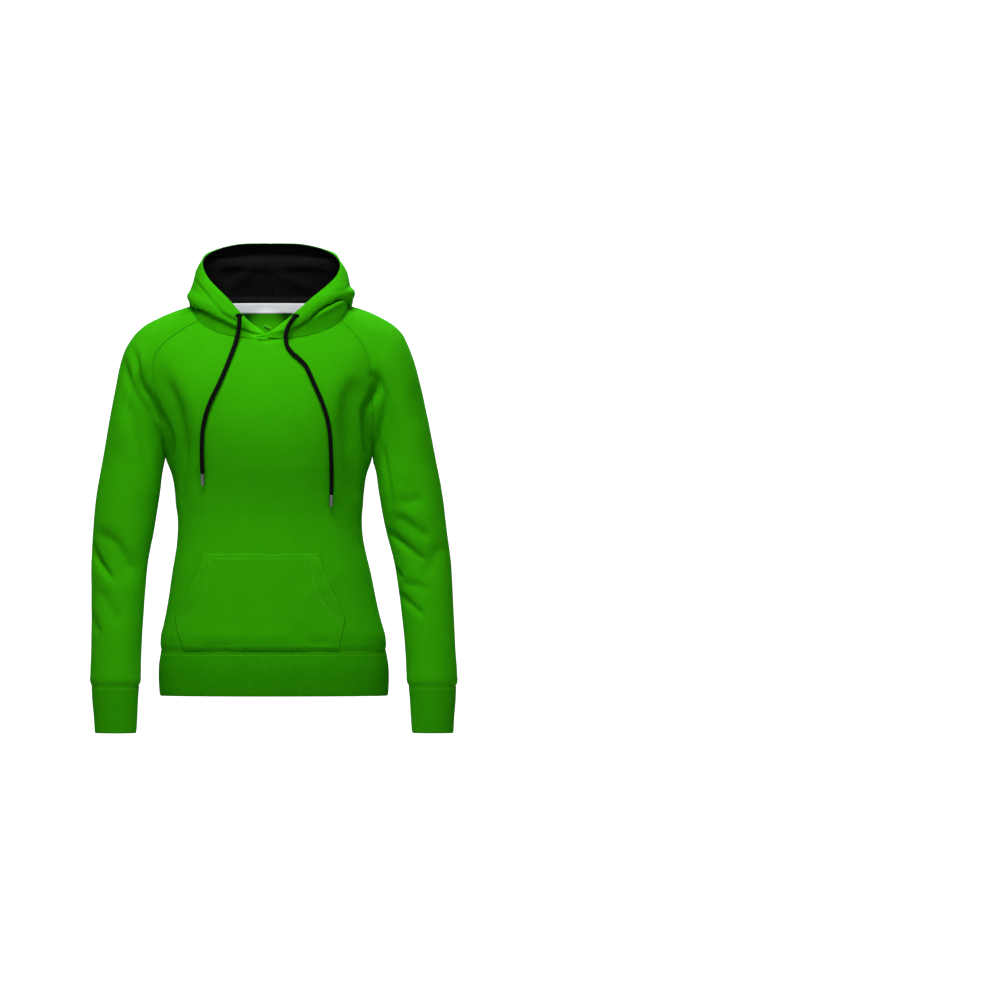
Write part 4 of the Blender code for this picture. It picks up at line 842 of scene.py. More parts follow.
def match_neck(made, skin, ids):
    middle = TORSO_COLUMNS // 2
    last = NECK_PER_BACK + NECK_PER_SLEEVE + NECK_PER_FRONT
    rings = {side: neck_ring(skin, ids, side) for side in ("left", "right")}
    for name in ("front", "back"):
        piece = made[name]
        from_middle = np.abs(piece.columns - middle) / middle
        at = last - from_middle * NECK_PER_FRONT if name == "front" else from_middle * NECK_PER_BACK
        of_left = piece.columns > middle if name == "front" else piece.columns < middle
        both = np.where(of_left[:, None], neck_at(rings["left"], at), neck_at(rings["right"], at))
        move = both - piece.grid[0]
        ease(piece.grid, move, PER_CELL + len(RIM_PLACES))
    for side in ("left", "right"):
        piece = made[f"sleeve_{side}"]
        share = piece.columns / SLEEVE_COLUMNS * NECK_PER_SLEEVE
        at = NECK_PER_BACK + (NECK_PER_SLEEVE - share if side == "left" else share)
        ease(piece.grid, neck_at(rings[side], at) - piece.grid[0], PER_CELL + len(RIM_PLACES))
        hood = made[f"hood_{side}"]
        at = hood.columns if side == "left" else hood.columns[-1] - hood.columns
        end = LEFT_LAPS_FROM if side == "left" else last
        sewn = np.clip((end - at) / 0.5, 0, 1)[:, None]
        ease(hood.grid, (neck_at(rings[side], np.minimum(at, last)) - hood.grid[0]) * sewn, HOOD_PER_CELL)


def ease(grid, move, rows):
    for row in range(rows):
        grid[row] += move * (1 - row / rows) ** 2


def fine_normals(made):
    """Normals of the joined fine pieces, evened out across their seams."""
    skin = Skin()
    for name, piece in made.items():
        skin.add(name, piece.grid)
    skin.weld()
    normals = skin.normals()
    for i, piece in enumerate(made.values()):
        piece.normals = normals[skin.maps[i]]


# ---------------------------------------------------------------- folds and what seams do to the cloth

# A crease in the body or a sleeve, seen from the front (side -1) or the back (side 1): its half width, its
# height (a valley is negative) and the line that it follows, as (x, z).
Crease = namedtuple("Crease", "side width height path")
CREASES = [
    Crease(-1, 0.006, -0.0100, [
        (-0.222, -0.053), (-0.217, -0.066), (-0.213, -0.091), (-0.206, -0.113), (-0.193, -0.132),
        (-0.180, -0.160), (-0.169, -0.182), (-0.164, -0.210), (-0.167, -0.234),
    ]),
    Crease(-1, 0.009, 0.0045, [
        (-0.234, -0.056), (-0.227, -0.091), (-0.219, -0.122), (-0.204, -0.148), (-0.191, -0.172),
        (-0.180, -0.195),
    ]),
    Crease(-1, 0.008, -0.0090, [
        (-0.237, -0.066), (-0.233, -0.079), (-0.228, -0.102), (-0.215, -0.130), (-0.201, -0.152),
        (-0.188, -0.179), (-0.177, -0.206),
    ]),
    Crease(-1, 0.008, -0.0038, [(-0.232, -0.141), (-0.218, -0.174), (-0.208, -0.204), (-0.200, -0.240)]),
    Crease(-1, 0.016, -0.0062, [
        (-0.173, -0.094), (-0.160, -0.127), (-0.149, -0.163), (-0.144, -0.198), (-0.146, -0.245),
        (-0.146, -0.287), (-0.144, -0.335),
    ]),
    Crease(-1, 0.011, -0.0062, [
        (-0.284, -0.352), (-0.259, -0.368), (-0.245, -0.387), (-0.236, -0.402), (-0.229, -0.421),
    ]),
    Crease(-1, 0.006, -0.0085, [(-0.297, -0.368), (-0.290, -0.389), (-0.276, -0.411), (-0.262, -0.429)]),
    Crease(-1, 0.012, -0.0045, [(-0.285, -0.446), (-0.271, -0.471), (-0.252, -0.502)]),
    Crease(-1, 0.006, -0.0045, [(-0.298, -0.488), (-0.293, -0.503), (-0.287, -0.520)]),
    Crease(-1, 0.006, -0.0130, [
        (0.181, -0.102), (0.170, -0.132), (0.160, -0.152), (0.160, -0.168), (0.162, -0.193),
        (0.163, -0.226),
    ]),
    Crease(-1, 0.016, -0.0088, [
        (0.147, -0.099), (0.134, -0.130), (0.130, -0.163), (0.132, -0.204), (0.133, -0.245),
        (0.137, -0.278), (0.141, -0.304),
    ]),
    Crease(-1, 0.008, -0.0065, [(0.170, -0.089), (0.183, -0.111), (0.174, -0.135)]),
    Crease(-1, 0.005, -0.0065, [
        (0.191, -0.116), (0.193, -0.132), (0.191, -0.148), (0.186, -0.168), (0.180, -0.190),
        (0.177, -0.214),
    ]),
    Crease(-1, 0.004, -0.0039, [
        (0.189, -0.214), (0.192, -0.243), (0.196, -0.267), (0.200, -0.295), (0.201, -0.317),
    ]),
    Crease(-1, 0.014, -0.0025, [(0.234, -0.119), (0.240, -0.144), (0.244, -0.177)]),
    Crease(-1, 0.010, -0.0040, [(0.214, -0.304), (0.232, -0.303), (0.252, -0.297)]),
    Crease(-1, 0.010, -0.0058, [(0.206, -0.327), (0.226, -0.339), (0.245, -0.352), (0.264, -0.363)]),
    Crease(-1, 0.006, -0.0072, [
        (0.197, -0.353), (0.209, -0.364), (0.227, -0.379), (0.242, -0.391), (0.254, -0.399),
    ]),
    Crease(-1, 0.007, -0.0039, [(0.216, -0.438), (0.239, -0.441), (0.262, -0.449)]),
    Crease(-1, 0.006, -0.0052, [(0.206, -0.452), (0.225, -0.470), (0.248, -0.490)]),
    Crease(-1, 0.005, -0.0052, [(0.195, -0.407), (0.206, -0.418), (0.214, -0.430)]),
    Crease(-1, 0.013, -0.0050, [(0.285, -0.373), (0.267, -0.397), (0.256, -0.422)]),
    Crease(-1, 0.014, -0.0030, [(0.028, -0.511), (0.048, -0.523), (0.074, -0.533), (0.093, -0.536)]),
    Crease(-1, 0.008, -0.0020, [(-0.113, -0.540), (-0.096, -0.543), (-0.068, -0.541)]),
    Crease(-1, 0.010, 0.0015, [(0.046, -0.465), (0.083, -0.441), (0.121, -0.416)]),
    Crease(1, 0.012, -0.0060, [(0.181, -0.169), (0.167, -0.207), (0.153, -0.238)]),
    Crease(1, 0.007, -0.0078, [
        (0.162, -0.210), (0.153, -0.234), (0.137, -0.275), (0.116, -0.318), (0.091, -0.362),
        (0.067, -0.406), (0.041, -0.460), (0.017, -0.501), (0.005, -0.522),
    ]),
    Crease(1, 0.012, 0.0025, [
        (0.141, -0.210), (0.123, -0.252), (0.099, -0.300), (0.067, -0.355), (0.034, -0.414),
        (0.008, -0.463),
    ]),
    Crease(1, 0.005, -0.0091, [
        (0.156, -0.293), (0.150, -0.312), (0.137, -0.347), (0.123, -0.383), (0.109, -0.420),
        (0.085, -0.482), (0.070, -0.540),
    ]),
    Crease(1, 0.007, 0.0030, [
        (0.141, -0.304), (0.123, -0.345), (0.100, -0.394), (0.074, -0.449), (0.057, -0.501),
    ]),
    Crease(1, 0.006, -0.0065, [
        (0.165, -0.286), (0.156, -0.314), (0.152, -0.354), (0.145, -0.390), (0.141, -0.442),
        (0.144, -0.470),
    ]),
    Crease(1, 0.005, -0.0105, [
        (0.247, 0.004), (0.241, -0.013), (0.234, -0.037), (0.225, -0.070), (0.218, -0.099),
        (0.210, -0.124), (0.202, -0.150), (0.199, -0.167),
    ]),
    Crease(1, 0.008, 0.0030, [
        (0.228, -0.003), (0.219, -0.037), (0.208, -0.075), (0.195, -0.113), (0.183, -0.146),
    ]),
    Crease(1, 0.007, -0.0046, [(0.280, -0.060), (0.282, -0.094), (0.282, -0.132), (0.283, -0.207)]),
    Crease(1, 0.005, -0.0052, [
        (0.274, -0.060), (0.268, -0.094), (0.261, -0.132), (0.254, -0.172), (0.248, -0.210),
    ]),
    Crease(1, 0.006, -0.0065, [
        (0.196, -0.241), (0.208, -0.252), (0.220, -0.267), (0.239, -0.288), (0.251, -0.302),
    ]),
    Crease(1, 0.009, 0.0030, [(0.203, -0.215), (0.220, -0.234), (0.238, -0.248)]),
    Crease(1, 0.022, -0.0050, [
        (0.121, -0.141), (0.093, -0.193), (0.058, -0.255), (0.017, -0.330), (-0.010, -0.380),
        (-0.041, -0.432), (-0.077, -0.489),
    ]),
    Crease(1, 0.008, -0.0039, [(0.211, -0.163), (0.221, -0.189), (0.234, -0.227)]),
    Crease(1, 0.005, -0.0078, [
        (-0.209, 0.008), (-0.210, -0.016), (-0.204, -0.042), (-0.195, -0.079), (-0.184, -0.114),
        (-0.173, -0.151),
    ]),
    Crease(1, 0.006, 0.0030, [(-0.194, -0.025), (-0.185, -0.065), (-0.172, -0.099), (-0.164, -0.134)]),
    Crease(1, 0.006, -0.0091, [
        (-0.174, -0.075), (-0.167, -0.114), (-0.160, -0.148), (-0.158, -0.172), (-0.170, -0.196),
    ]),
    Crease(1, 0.007, -0.0039, [
        (-0.226, -0.013), (-0.223, -0.071), (-0.230, -0.120), (-0.230, -0.189), (-0.238, -0.259),
    ]),
    Crease(1, 0.005, -0.0052, [(-0.185, -0.264), (-0.200, -0.288), (-0.221, -0.319)]),
    Crease(1, 0.012, -0.0030, [(-0.117, -0.215), (-0.119, -0.286), (-0.124, -0.380), (-0.128, -0.458)]),
    Crease(1, 0.012, -0.0040, [(-0.138, -0.072), (-0.143, -0.110), (-0.145, -0.155)]),
    Crease(-1, 0.007, -0.0040, [
        (-0.165, -0.110), (-0.155, -0.138), (-0.149, -0.167), (-0.143, -0.209), (-0.141, -0.241),
    ]),
    Crease(-1, 0.008, 0.0030, [
        (-0.114, -0.225), (-0.121, -0.247), (-0.129, -0.275), (-0.139, -0.310), (-0.146, -0.340),
    ]),
]

# Creases in the hood's outer layer, as above.
HOOD_CREASES = [
    Crease(-1, 0.0028, -0.0022, [
        (-0.127, 0.066), (-0.121, 0.056), (-0.111, 0.044), (-0.102, 0.034), (-0.090, 0.018), (-0.077, 0.005),
        (-0.059, -0.004), (-0.040, -0.013),
    ]),
    Crease(-1, 0.0040, 0.0012, [
        (-0.121, 0.063), (-0.106, 0.045), (-0.095, 0.031), (-0.084, 0.020), (-0.068, 0.008), (-0.052, 0.000),
    ]),
    Crease(-1, 0.0050, -0.0030, [(0.135, 0.062), (0.124, 0.047), (0.110, 0.043), (0.094, 0.040)]),
    Crease(1, 0.0060, -0.0060, [
        (0.160, 0.077), (0.148, 0.053), (0.138, 0.036), (0.127, 0.022), (0.112, -0.001), (0.096, -0.021),
    ]),
    Crease(1, 0.0055, -0.0075, [
        (0.145, 0.015), (0.133, -0.006), (0.119, -0.028), (0.100, -0.039), (0.083, -0.049), (0.059, -0.068),
        (0.032, -0.089),
    ]),
    Crease(1, 0.0070, 0.0045, [
        (0.135, 0.010), (0.118, -0.014), (0.098, -0.028), (0.076, -0.042), (0.052, -0.060),
    ]),
    Crease(1, 0.0060, 0.0030, [(0.150, 0.030), (0.136, 0.008), (0.121, -0.014), (0.104, -0.030)]),
    Crease(1, 0.0120, -0.0065, [(-0.106, 0.079), (-0.091, 0.053), (-0.063, 0.025), (-0.036, -0.006)]),
    Crease(1, 0.0050, -0.0045, [(-0.114, 0.060), (-0.112, 0.042), (-0.108, 0.028)]),
    Crease(1, 0.0045, -0.0055, [(-0.004, -0.082), (-0.014, -0.070), (-0.028, -0.063), (-0.053, -0.055)]),
    Crease(1, 0.0045, -0.0042, [
        (0.132, 0.097), (0.100, 0.094), (0.050, 0.093), (0.0, 0.0925), (-0.060, 0.093), (-0.118, 0.096),
    ]),
    Crease(1, 0.0090, 0.0030, [
        (0.132, 0.109), (0.060, 0.107), (0.0, 0.107), (-0.060, 0.107), (-0.116, 0.109),
    ]),
]

# The hood's roll beside the face, seen from the front: its lower edge hangs out over a valley. out and into
# are the heights of the two, over how far the edge hangs down, at the path's outer end; all die away to the
# crossing.
Roll = namedtuple("Roll", "piece out into over path")
ROLLS = [
    Roll("hood_right", 0.0066, 0.0145, 0.0058, [
        (-0.134, 0.028), (-0.124, 0.0215), (-0.115, 0.019), (-0.102, 0.013), (-0.087, 0.0045),
        (-0.075, -0.0013), (-0.055, -0.0115), (-0.039, -0.0165), (-0.029, -0.0206), (-0.0155, -0.0256),
        (-0.0077, -0.028),
    ]),
    Roll("hood_left", 0.0066, 0.0178, 0.0068, [
        (0.130, 0.0347), (0.119, 0.036), (0.105, 0.0335), (0.094, 0.0271), (0.0867, 0.0233),
        (0.0744, 0.0145), (0.0629, 0.0018), (0.051, -0.0069), (0.0391, -0.014), (0.0264, -0.019),
        (0.0122, -0.0239), (0.0024, -0.0272),
    ]),
]


ROLL_LIP = 0.006  # how far above its edge a roll stands out in full


def noise(x, y, seed, octaves=3):
    """Smooth, repeatable waves from -1 to 1 over a flat place, for the small unevenness of real cloth."""
    total = np.zeros(np.broadcast(x, y).shape)
    turn = np.random.default_rng(seed)
    for octave in range(octaves):
        for _ in range(4):
            angle, phase = turn.uniform(0, 2 * np.pi, 2)
            size = 2.0**octave * turn.uniform(0.7, 1.4)
            total += np.sin((x * np.cos(angle) + y * np.sin(angle)) * size + phase) / 2**octave
    return total / (4 * 1.75)


def along_path(places_at, path):
    """From each place to a path: the distance, how far along the path (0 to 1), the side (left is positive)
    and the unit vector to the left."""
    path = np.array(path, float)
    keys = np.arange(len(path), dtype=float)
    line = smooth_curve(keys, path, np.linspace(0, keys[-1], 5 * (len(path) - 1) + 1))
    steps = np.diff(line, axis=0)
    lengths = np.linalg.norm(steps, axis=1)
    ways = steps / lengths[:, None]
    from_start = places_at[:, None, :] - line[None, :-1]
    reach = np.clip((from_start * ways).sum(-1), 0, lengths)
    offset = from_start - reach[..., None] * ways
    distance = np.linalg.norm(offset, axis=-1)
    nearest = distance.argmin(1)
    at = np.arange(len(places_at))
    share = (np.concatenate([[0], np.cumsum(lengths)])[nearest] + reach[at, nearest]) / lengths.sum()
    side = ways[nearest, 0] * from_start[at, nearest, 1] - ways[nearest, 1] * from_start[at, nearest, 0]
    across_way = np.stack([-ways[nearest, 1], ways[nearest, 0]], 1)
    return distance[at, nearest], share, np.sign(side), across_way


def crease_height(points, crease):
    distance, share, _, _ = along_path(points[:, [0, 2]], crease.path)
    ends = np.sin(np.pi * np.clip(np.minimum(share, 1 - share) * 2.2 + 0.08, 0, 0.5))
    return crease.height * ends * np.exp(-((distance / crease.width) ** 2))


def press_body(made):
    """Presses the creases into the body and the sleeves, and makes their cloth a little uneven."""
    for name in BODY:
        piece = made[name]
        points, normals = piece.grid.reshape(-1, 3), piece.normals.reshape(-1, 3)
        height = np.zeros(len(points))
        for crease in CREASES:
            height += faced(normals, crease.side, 0.15) * crease_height(points, crease)
        x, z = points[:, 0] + 0.7 * points[:, 1], points[:, 2] + 0.3 * points[:, 1]
        height += 0.0007 * noise(x * 38, z * 30, 3) + 0.00022 * noise(x * 150, z * 120, 5)
        rows = np.broadcast_to(piece.rows[:, None], piece.grid.shape[:2]).ravel()
        sewn = np.clip(rows / 0.8, 0, 1) * np.clip((piece.rows[-1] - rows) / 0.5, 0, 1)
        piece.grid = (points + normals * (height * sewn)[:, None]).reshape(piece.grid.shape)


def from_last_row(grid):
    """Distance of each point up from its grid's last row."""
    falls = np.linalg.norm(np.diff(grid, axis=0), axis=2)[::-1]
    return np.concatenate([np.zeros((1, grid.shape[1])), np.cumsum(falls, axis=0)])[::-1]


# Above a band the cloth blouses out and is gathered: how far out, over what height, and how deep the gathers
# are and how close together.
Gather = namedtuple("Gather", "piece out reach depth count")
GATHERS = [
    Gather("front", 0.0010, 0.008, 0.0008, 75), Gather("back", 0.0010, 0.008, 0.0011, 75),
    Gather("sleeve_left", 0.0020, 0.010, 0.0017, 95), Gather("sleeve_right", 0.0020, 0.010, 0.0017, 95),
]


def gather_at_bands(made):
    for gather in GATHERS:
        piece = made[gather.piece]
        up = from_last_row(piece.grid)
        blouse = gather.out * np.exp(-(((up - gather.reach) / (0.75 * gather.reach)) ** 2))
        across_way = piece.grid[..., 0] + 0.8 * piece.grid[..., 1]
        folds = noise(across_way * gather.count, piece.grid[..., 2] * 20, 11, 2)
        gathers = gather.depth * folds * np.exp(-up / (1.3 * gather.reach))
        sewn = np.clip(up / 0.003, 0, 1)
        piece.grid = piece.grid + piece.normals * ((blouse + gathers) * sewn)[..., None]


def press_hood(made):
    """Presses the creases into the hood, and rolls its sides out over the band above the neck seam."""
    for name in ("hood_left", "hood_right"):
        piece = made[name]
        points, normals = piece.grid.reshape(-1, 3).copy(), piece.normals.reshape(-1, 3)
        rows = np.broadcast_to(piece.rows[:, None], piece.grid.shape[:2]).ravel()
        from_back = piece.columns if name == "hood_left" else piece.columns[-1] - piece.columns
        from_back = np.broadcast_to(from_back[None, :], piece.grid.shape[:2]).ravel()
        sewn = np.clip(rows / 1.5, 0, 1) * np.clip(HOOD_ROWS - rows, 0, 1)
        height = np.zeros(len(points))
        for crease in HOOD_CREASES:
            weight = faced(normals, crease.side, 0.3)
            if crease.side > 0:
                weight = weight * np.clip(rows - HOOD_ROWS / 2, 0, 1)
            height += weight * crease_height(points, crease)
        height += 0.0005 * noise(points[:, 0] * 60, points[:, 2] * 60 + points[:, 1] * 25, 7)
        moved = points + normals * (height * sewn)[:, None]
        for roll in ROLLS:
            if roll.piece == name:
                moved += roll_out(points, normals, roll, sewn * np.clip(from_back - 6.5, 0, 1))
        piece.grid = moved.reshape(piece.grid.shape)


def roll_out(points, normals, roll, weight):
    """Move of each point for a roll: out above its edge, in below it, and the edge down over the valley."""
    distance, share, side, up = along_path(points[:, [0, 2]], roll.path)
    upward = np.sign(up[:, 1])
    above = distance * side * upward
    up = up * upward[:, None]
    less = weight * (1 - 0.72 * share) * np.clip((1 - share) * 7, 0, 1)
    less = less * faced(normals, -1, 0.4)
    lip = np.sqrt(1 - (1 - np.clip(above / ROLL_LIP, 0, 1)) ** 2)
    rise = roll.out * lip * np.exp(-((np.maximum(above - ROLL_LIP, 0) / 0.010) ** 2))
    sink = -roll.into * np.exp(-(((above + 0.002) / 0.0052) ** 2))
    height = np.where(above > 0, rise, sink) * less
    hang = np.where(above > 0, -roll.over * np.clip(1 - above / ROLL_LIP, 0, 1) ** 2, 0)
    hang += np.where(above <= 0, roll.over * 0.3 * np.clip(1 + above / 0.005, 0, 1) ** 2, 0)
    move = normals * height[:, None]
    move[:, 0] += up[:, 0] * hang * less
    move[:, 2] += up[:, 1] * hang * less
    return move


# ---------------------------------------------------------------- meshes


def weld_ids(*grids):
    """Numbers for the points of grids, the same where two points coincide."""
    points = np.concatenate([grid.reshape(-1, 3) for grid in grids])
    _, ids = np.unique(np.round(points, 6), axis=0, return_inverse=True)
    cut = np.cumsum([grid.shape[0] * grid.shape[1] for grid in grids])[:-1]
    return [part.reshape(grid.shape[:2]) for part, grid in zip(np.split(ids.ravel(), cut), grids)]


def quads_of(ids):
    return np.stack([ids[:-1, :-1], ids[1:, :-1], ids[1:, 1:], ids[:-1, 1:]], -1).reshape(-1, 4)


def tree_of(grid):
    """The faces of a grid as a tree, in which points on it are found."""
    ids = np.arange(grid.size // 3).reshape(grid.shape[:2])
    return BVHTree.FromPolygons([Vector(p) for p in grid.reshape(-1, 3)], quads_of(ids).tolist())


def loop_places(uv):
    """Flat coordinates at the four corners of each of a grid's faces."""
    return np.stack([uv[:-1, :-1], uv[1:, :-1], uv[1:, 1:], uv[:-1, 1:]], 2).reshape(-1, 4, 2)


def cloth_object(name, middle, outer, inner, finish, uv):
    """The cloth of one piece: a closed wall between two grids, and its flat coordinates."""
    (ids,) = weld_ids(middle)
    used, first, compact = np.unique(ids.ravel(), return_index=True, return_inverse=True)
    ids = compact.reshape(ids.shape)
    quads = quads_of(ids)
    count = len(used)
    edges = np.stack([quads, np.roll(quads, -1, axis=1)], -1).reshape(-1, 2)
    key = edges.min(1) * count + edges.max(1)
    _, where, times = np.unique(key, return_index=True, return_counts=True)
    rim = edges[where[times == 1]]
    rim = rim[rim[:, 0] != rim[:, 1]]
    sides = np.stack([rim[:, 1], rim[:, 0], rim[:, 0] + count, rim[:, 1] + count], 1)
    faces = np.concatenate([quads, quads[:, ::-1] + count, sides])
    points = np.concatenate([outer.reshape(-1, 3)[first], inner.reshape(-1, 3)[first]])
    corners = loop_places(uv)
    rim_uv = uv.reshape(-1, 2)[first][sides % count]
    loops = np.concatenate([corners, corners[:, ::-1], rim_uv])
    made = mesh_object(f"{name}_cloth", swayed(points), faces.tolist(), finish, loops)
    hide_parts(name)
    return made


def mesh_object(name, points, faces, finish, loops=None):
    """A smooth mesh with one finish; loops are its flat coordinates, if it has any."""
    mesh = bpy.data.meshes.new(name)
    mesh.from_pydata(points.tolist(), [], faces)
    mesh.update()
    mesh.shade_smooth()
    if loops is not None:
        layer = mesh.uv_layers.new(name="flat")
        layer.data.foreach_set("uv", loops.astype(np.float32).ravel())
    mesh.materials.append(bpy.data.materials[f"{finish}_look"])
    made = bpy.data.objects.new(name, mesh)
    bpy.context.scene.collection.objects.link(made)
    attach(made, "root")
    return made


def flat_places(grid, centre=0.5):
    """Flat coordinates of a grid in metres: the way along each row from its centre, and the way down."""
    steps = np.linalg.norm(np.diff(grid, axis=1), axis=2)
    u = np.concatenate([np.zeros((len(grid), 1)), np.cumsum(steps, axis=1)], axis=1)
    u -= u[:, [int(centre * (grid.shape[1] - 1))]]
    falls = np.linalg.norm(np.diff(grid, axis=0), axis=2).mean(axis=1)
    v = -np.concatenate([[0], np.cumsum(falls)])
    return np.stack([u, np.broadcast_to(v[:, None], u.shape)], -1)


EDGE_REACH = 0.22  # how far a free edge rolls over, in the solids' cells


def rolled(rows):
    """How much of its thickness a wall keeps at each row: it rolls over at its last row, a free edge."""
    share = np.clip((rows[-1] - rows) / EDGE_REACH, 0, 1)
    return np.minimum(1.0, np.sqrt(1 - (1 - share) ** 2) * 0.92 + 0.08)


# ---------------------------------------------------------------- materials


def node(tree, kind, **settings):
    made = tree.nodes.new(kind)
    for name, value in settings.items():
        setattr(made, name, value)
    return made


def math_node(tree, operation, first, second=None, third=None):
    made = node(tree, "ShaderNodeMath", operation=operation)
    for socket, value in zip(made.inputs, (first, second, third)):
        if value is None:
            continue
        if isinstance(value, bpy.types.NodeSocket):
            tree.links.new(value, socket)
        else:
            socket.default_value = value
    return made.outputs[0]


def noise_node(tree, place, scale, detail=3.0, roughness=0.55):
    made = node(tree, "ShaderNodeTexNoise")
    made.inputs["Scale"].default_value = scale
    made.inputs["Detail"].default_value = detail
    made.inputs["Roughness"].default_value = roughness
    tree.links.new(place, made.inputs["Vector"])
    return made.outputs["Fac"]


def bump_node(tree, height, distance, strength=1.0, before=None):
    made = node(tree, "ShaderNodeBump")
    made.inputs["Strength"].default_value = strength
    made.inputs["Distance"].default_value = distance
    tree.links.new(height, made.inputs["Height"])
    if before is not None:
        tree.links.new(before, made.inputs["Normal"])
    return made.outputs["Normal"]


def mix_colour(tree, share, first, second):
    made = node(tree, "ShaderNodeMix", data_type="RGBA")
    tree.links.new(share, made.inputs[0])
    made.inputs[6].default_value = (*first, 1)
    made.inputs[7].default_value = (*second, 1)
    return made.outputs[2]


def knit_height(tree, wale, course):
    """Height of a plain knit face: columns of V stitches, wale apart across and course apart down."""
    flat = node(tree, "ShaderNodeUVMap", uv_map="flat")
    split = node(tree, "ShaderNodeSeparateXYZ")
    tree.links.new(flat.outputs[0], split.inputs[0])
    u = math_node(tree, "MULTIPLY", split.outputs[0], 1 / wale)
    column_wave = math_node(tree, "PINGPONG", u, 0.5)
    lean = math_node(tree, "MULTIPLY", column_wave, 1.4)
    slant = math_node(tree, "MULTIPLY_ADD", split.outputs[1], 1 / course, lean)
    stitch = math_node(tree, "SINE", math_node(tree, "MULTIPLY", slant, 2 * math.pi))
    ridge = math_node(tree, "SINE", math_node(tree, "MULTIPLY", column_wave, 2 * math.pi))
    return math_node(tree, "MULTIPLY_ADD", stitch, 0.35, math_node(tree, "ABSOLUTE", ridge))


def new_material(name):
    """A new material with its node tree, its shader and the places that its grain is worked out from."""
    made = bpy.data.materials.new(f"{name}_look")
    made.use_nodes = True
    tree = made.node_tree
    return made, tree, tree.nodes["Principled BSDF"], node(tree, "ShaderNodeTexCoord").outputs["Object"]


def cloth_material(look):
    """Matte knit cloth: slow and fine colour variation, a knit face and loose fibres."""
    _, tree, shader, place = new_material(look.name)
    slow = noise_node(tree, place, 26.0)
    fine = noise_node(tree, place, 900.0, 2.0)
    share = math_node(tree, "MULTIPLY_ADD", fine, 0.45, math_node(tree, "MULTIPLY", slow, 0.75))
    share = math_node(tree, "SUBTRACT", share, 0.1)
    tree.links.new(mix_colour(tree, share, look.dark, look.light), shader.inputs["Base Color"])
    pressed = bump_node(tree, knit_height(tree, look.wale, look.wale * 0.8), look.depth)
    fibres = noise_node(tree, place, 2600.0, 4.0, 0.7)
    tree.links.new(bump_node(tree, fibres, look.depth, 0.7, pressed), shader.inputs["Normal"])
    rough = math_node(tree, "MULTIPLY_ADD", fine, 0.12, look.roughness - 0.06)
    tree.links.new(rough, shader.inputs["Roughness"])
    shader.inputs["Specular IOR Level"].default_value = 0.008
    shader.inputs["Sheen Weight"].default_value = look.sheen
    shader.inputs["Sheen Roughness"].default_value = 0.5


def plain_material(name, colour, roughness, metallic=0.0):
    """An even colour with a little grain in it."""
    made, tree, shader, place = new_material(name)
    fine = noise_node(tree, place, 800.0)
    lighter = tuple(min(1.0, part * 1.25 + 0.002) for part in colour)
    tree.links.new(mix_colour(tree, fine, colour, lighter), shader.inputs["Base Color"])
    tree.links.new(math_node(tree, "MULTIPLY_ADD", fine, 0.1, roughness - 0.05), shader.inputs["Roughness"])
    shader.inputs["Metallic"].default_value = metallic
    if not metallic:
        shader.inputs["Specular IOR Level"].default_value = 0.05
    return made, shader


# Knit and woven cloth: the colours that it varies between, the width of a wale, the depth of the knit, how
# rough it is and how much sheen it has.
ClothLook = namedtuple("ClothLook", "name dark light wale depth roughness sheen")
CLOTH_LOOKS = [
    ClothLook("green_fleece", (0.030, 0.345, 0.0012), (0.039, 0.405, 0.0022), 0.0009, 0.00014, 0.92, 0.0),
    ClothLook("green_rib", (0.022, 0.270, 0.0008), (0.029, 0.320, 0.0014), 0.0008, 0.00012, 0.92, 0.0),
    ClothLook("black_jersey", (0.005, 0.005, 0.0052), (0.009, 0.009, 0.0094), 0.0008, 0.00010, 0.9, 0.0),
    ClothLook("white_tape", (0.72, 0.73, 0.76), (0.86, 0.87, 0.90), 0.0012, 0.00016, 0.8, 0.1),
    ClothLook("black_cord", (0.003, 0.003, 0.003), (0.008, 0.008, 0.008), 0.0012, 0.00010, 0.85, 0.0),
]
STAGE_GLOW = {"pale_floor": 0.20, "bright_wall": 0.97}


def make_materials():
    for look in CLOTH_LOOKS:
        cloth_material(look)
    # Real thread, made a little darker than the cloth: the darker green paints the faint shade along the seams
    # of the body and the hood.
    plain_material("green_thread", (0.030, 0.330, 0.0015), 0.8)
    # Real thread, made paler than the cloth: the paler green paints the highlight that the raised stitches
    # catch, on the pocket, the bands and the light tack.
    plain_material("pale_green_thread", (0.085, 0.460, 0.012), 0.7)
    plain_material("white_thread", (0.62, 0.62, 0.64), 0.7)
    # Dark thread of painted shade: the eyelets, and the tack under the light one.
    plain_material("black_thread", (0.004, 0.004, 0.004), 0.9)
    plain_material("metal_tip", (0.22, 0.22, 0.22), 0.30, 1.0)
    for name, glow in STAGE_GLOW.items():
        stage, shader = plain_material(name, (0.88, 0.88, 0.88), 0.9)
        shader.inputs["Emission Color"].default_value = (1, 1, 1, 1)
        shader.inputs["Emission Strength"].default_value = glow
        stage.cycles.emission_sampling = "NONE"


# ---------------------------------------------------------------- the sewn pieces


def fleece_wall(piece, keep_rows, groove):
    """Outer and inner grids of a fleece wall, thinned by keep_rows and drawn in outside by its groove."""
    half = (FLEECE / 2 * keep_rows)[:, None, None]
    outer = piece.grid + piece.normals * (half - (SEAM_DEPTH * groove)[..., None])
    return outer, piece.grid - piece.normals * half


# How far in the cloth is drawn at distances from a seam, in the solids' cells: deepest in the seam, and again
# under the stitches beside it.
SEAM_PROFILE = [(0.0, 1.0), (0.025, 0.62), (0.05, 0.25), (0.075, 0.22), (0.1, 0.5), (0.13, 0.2), (0.2, 0.0)]
SEAM_DEPTH = 0.0012
BAND_SEAM_SHARE = 0.55  # the seams above the bands are drawn in less


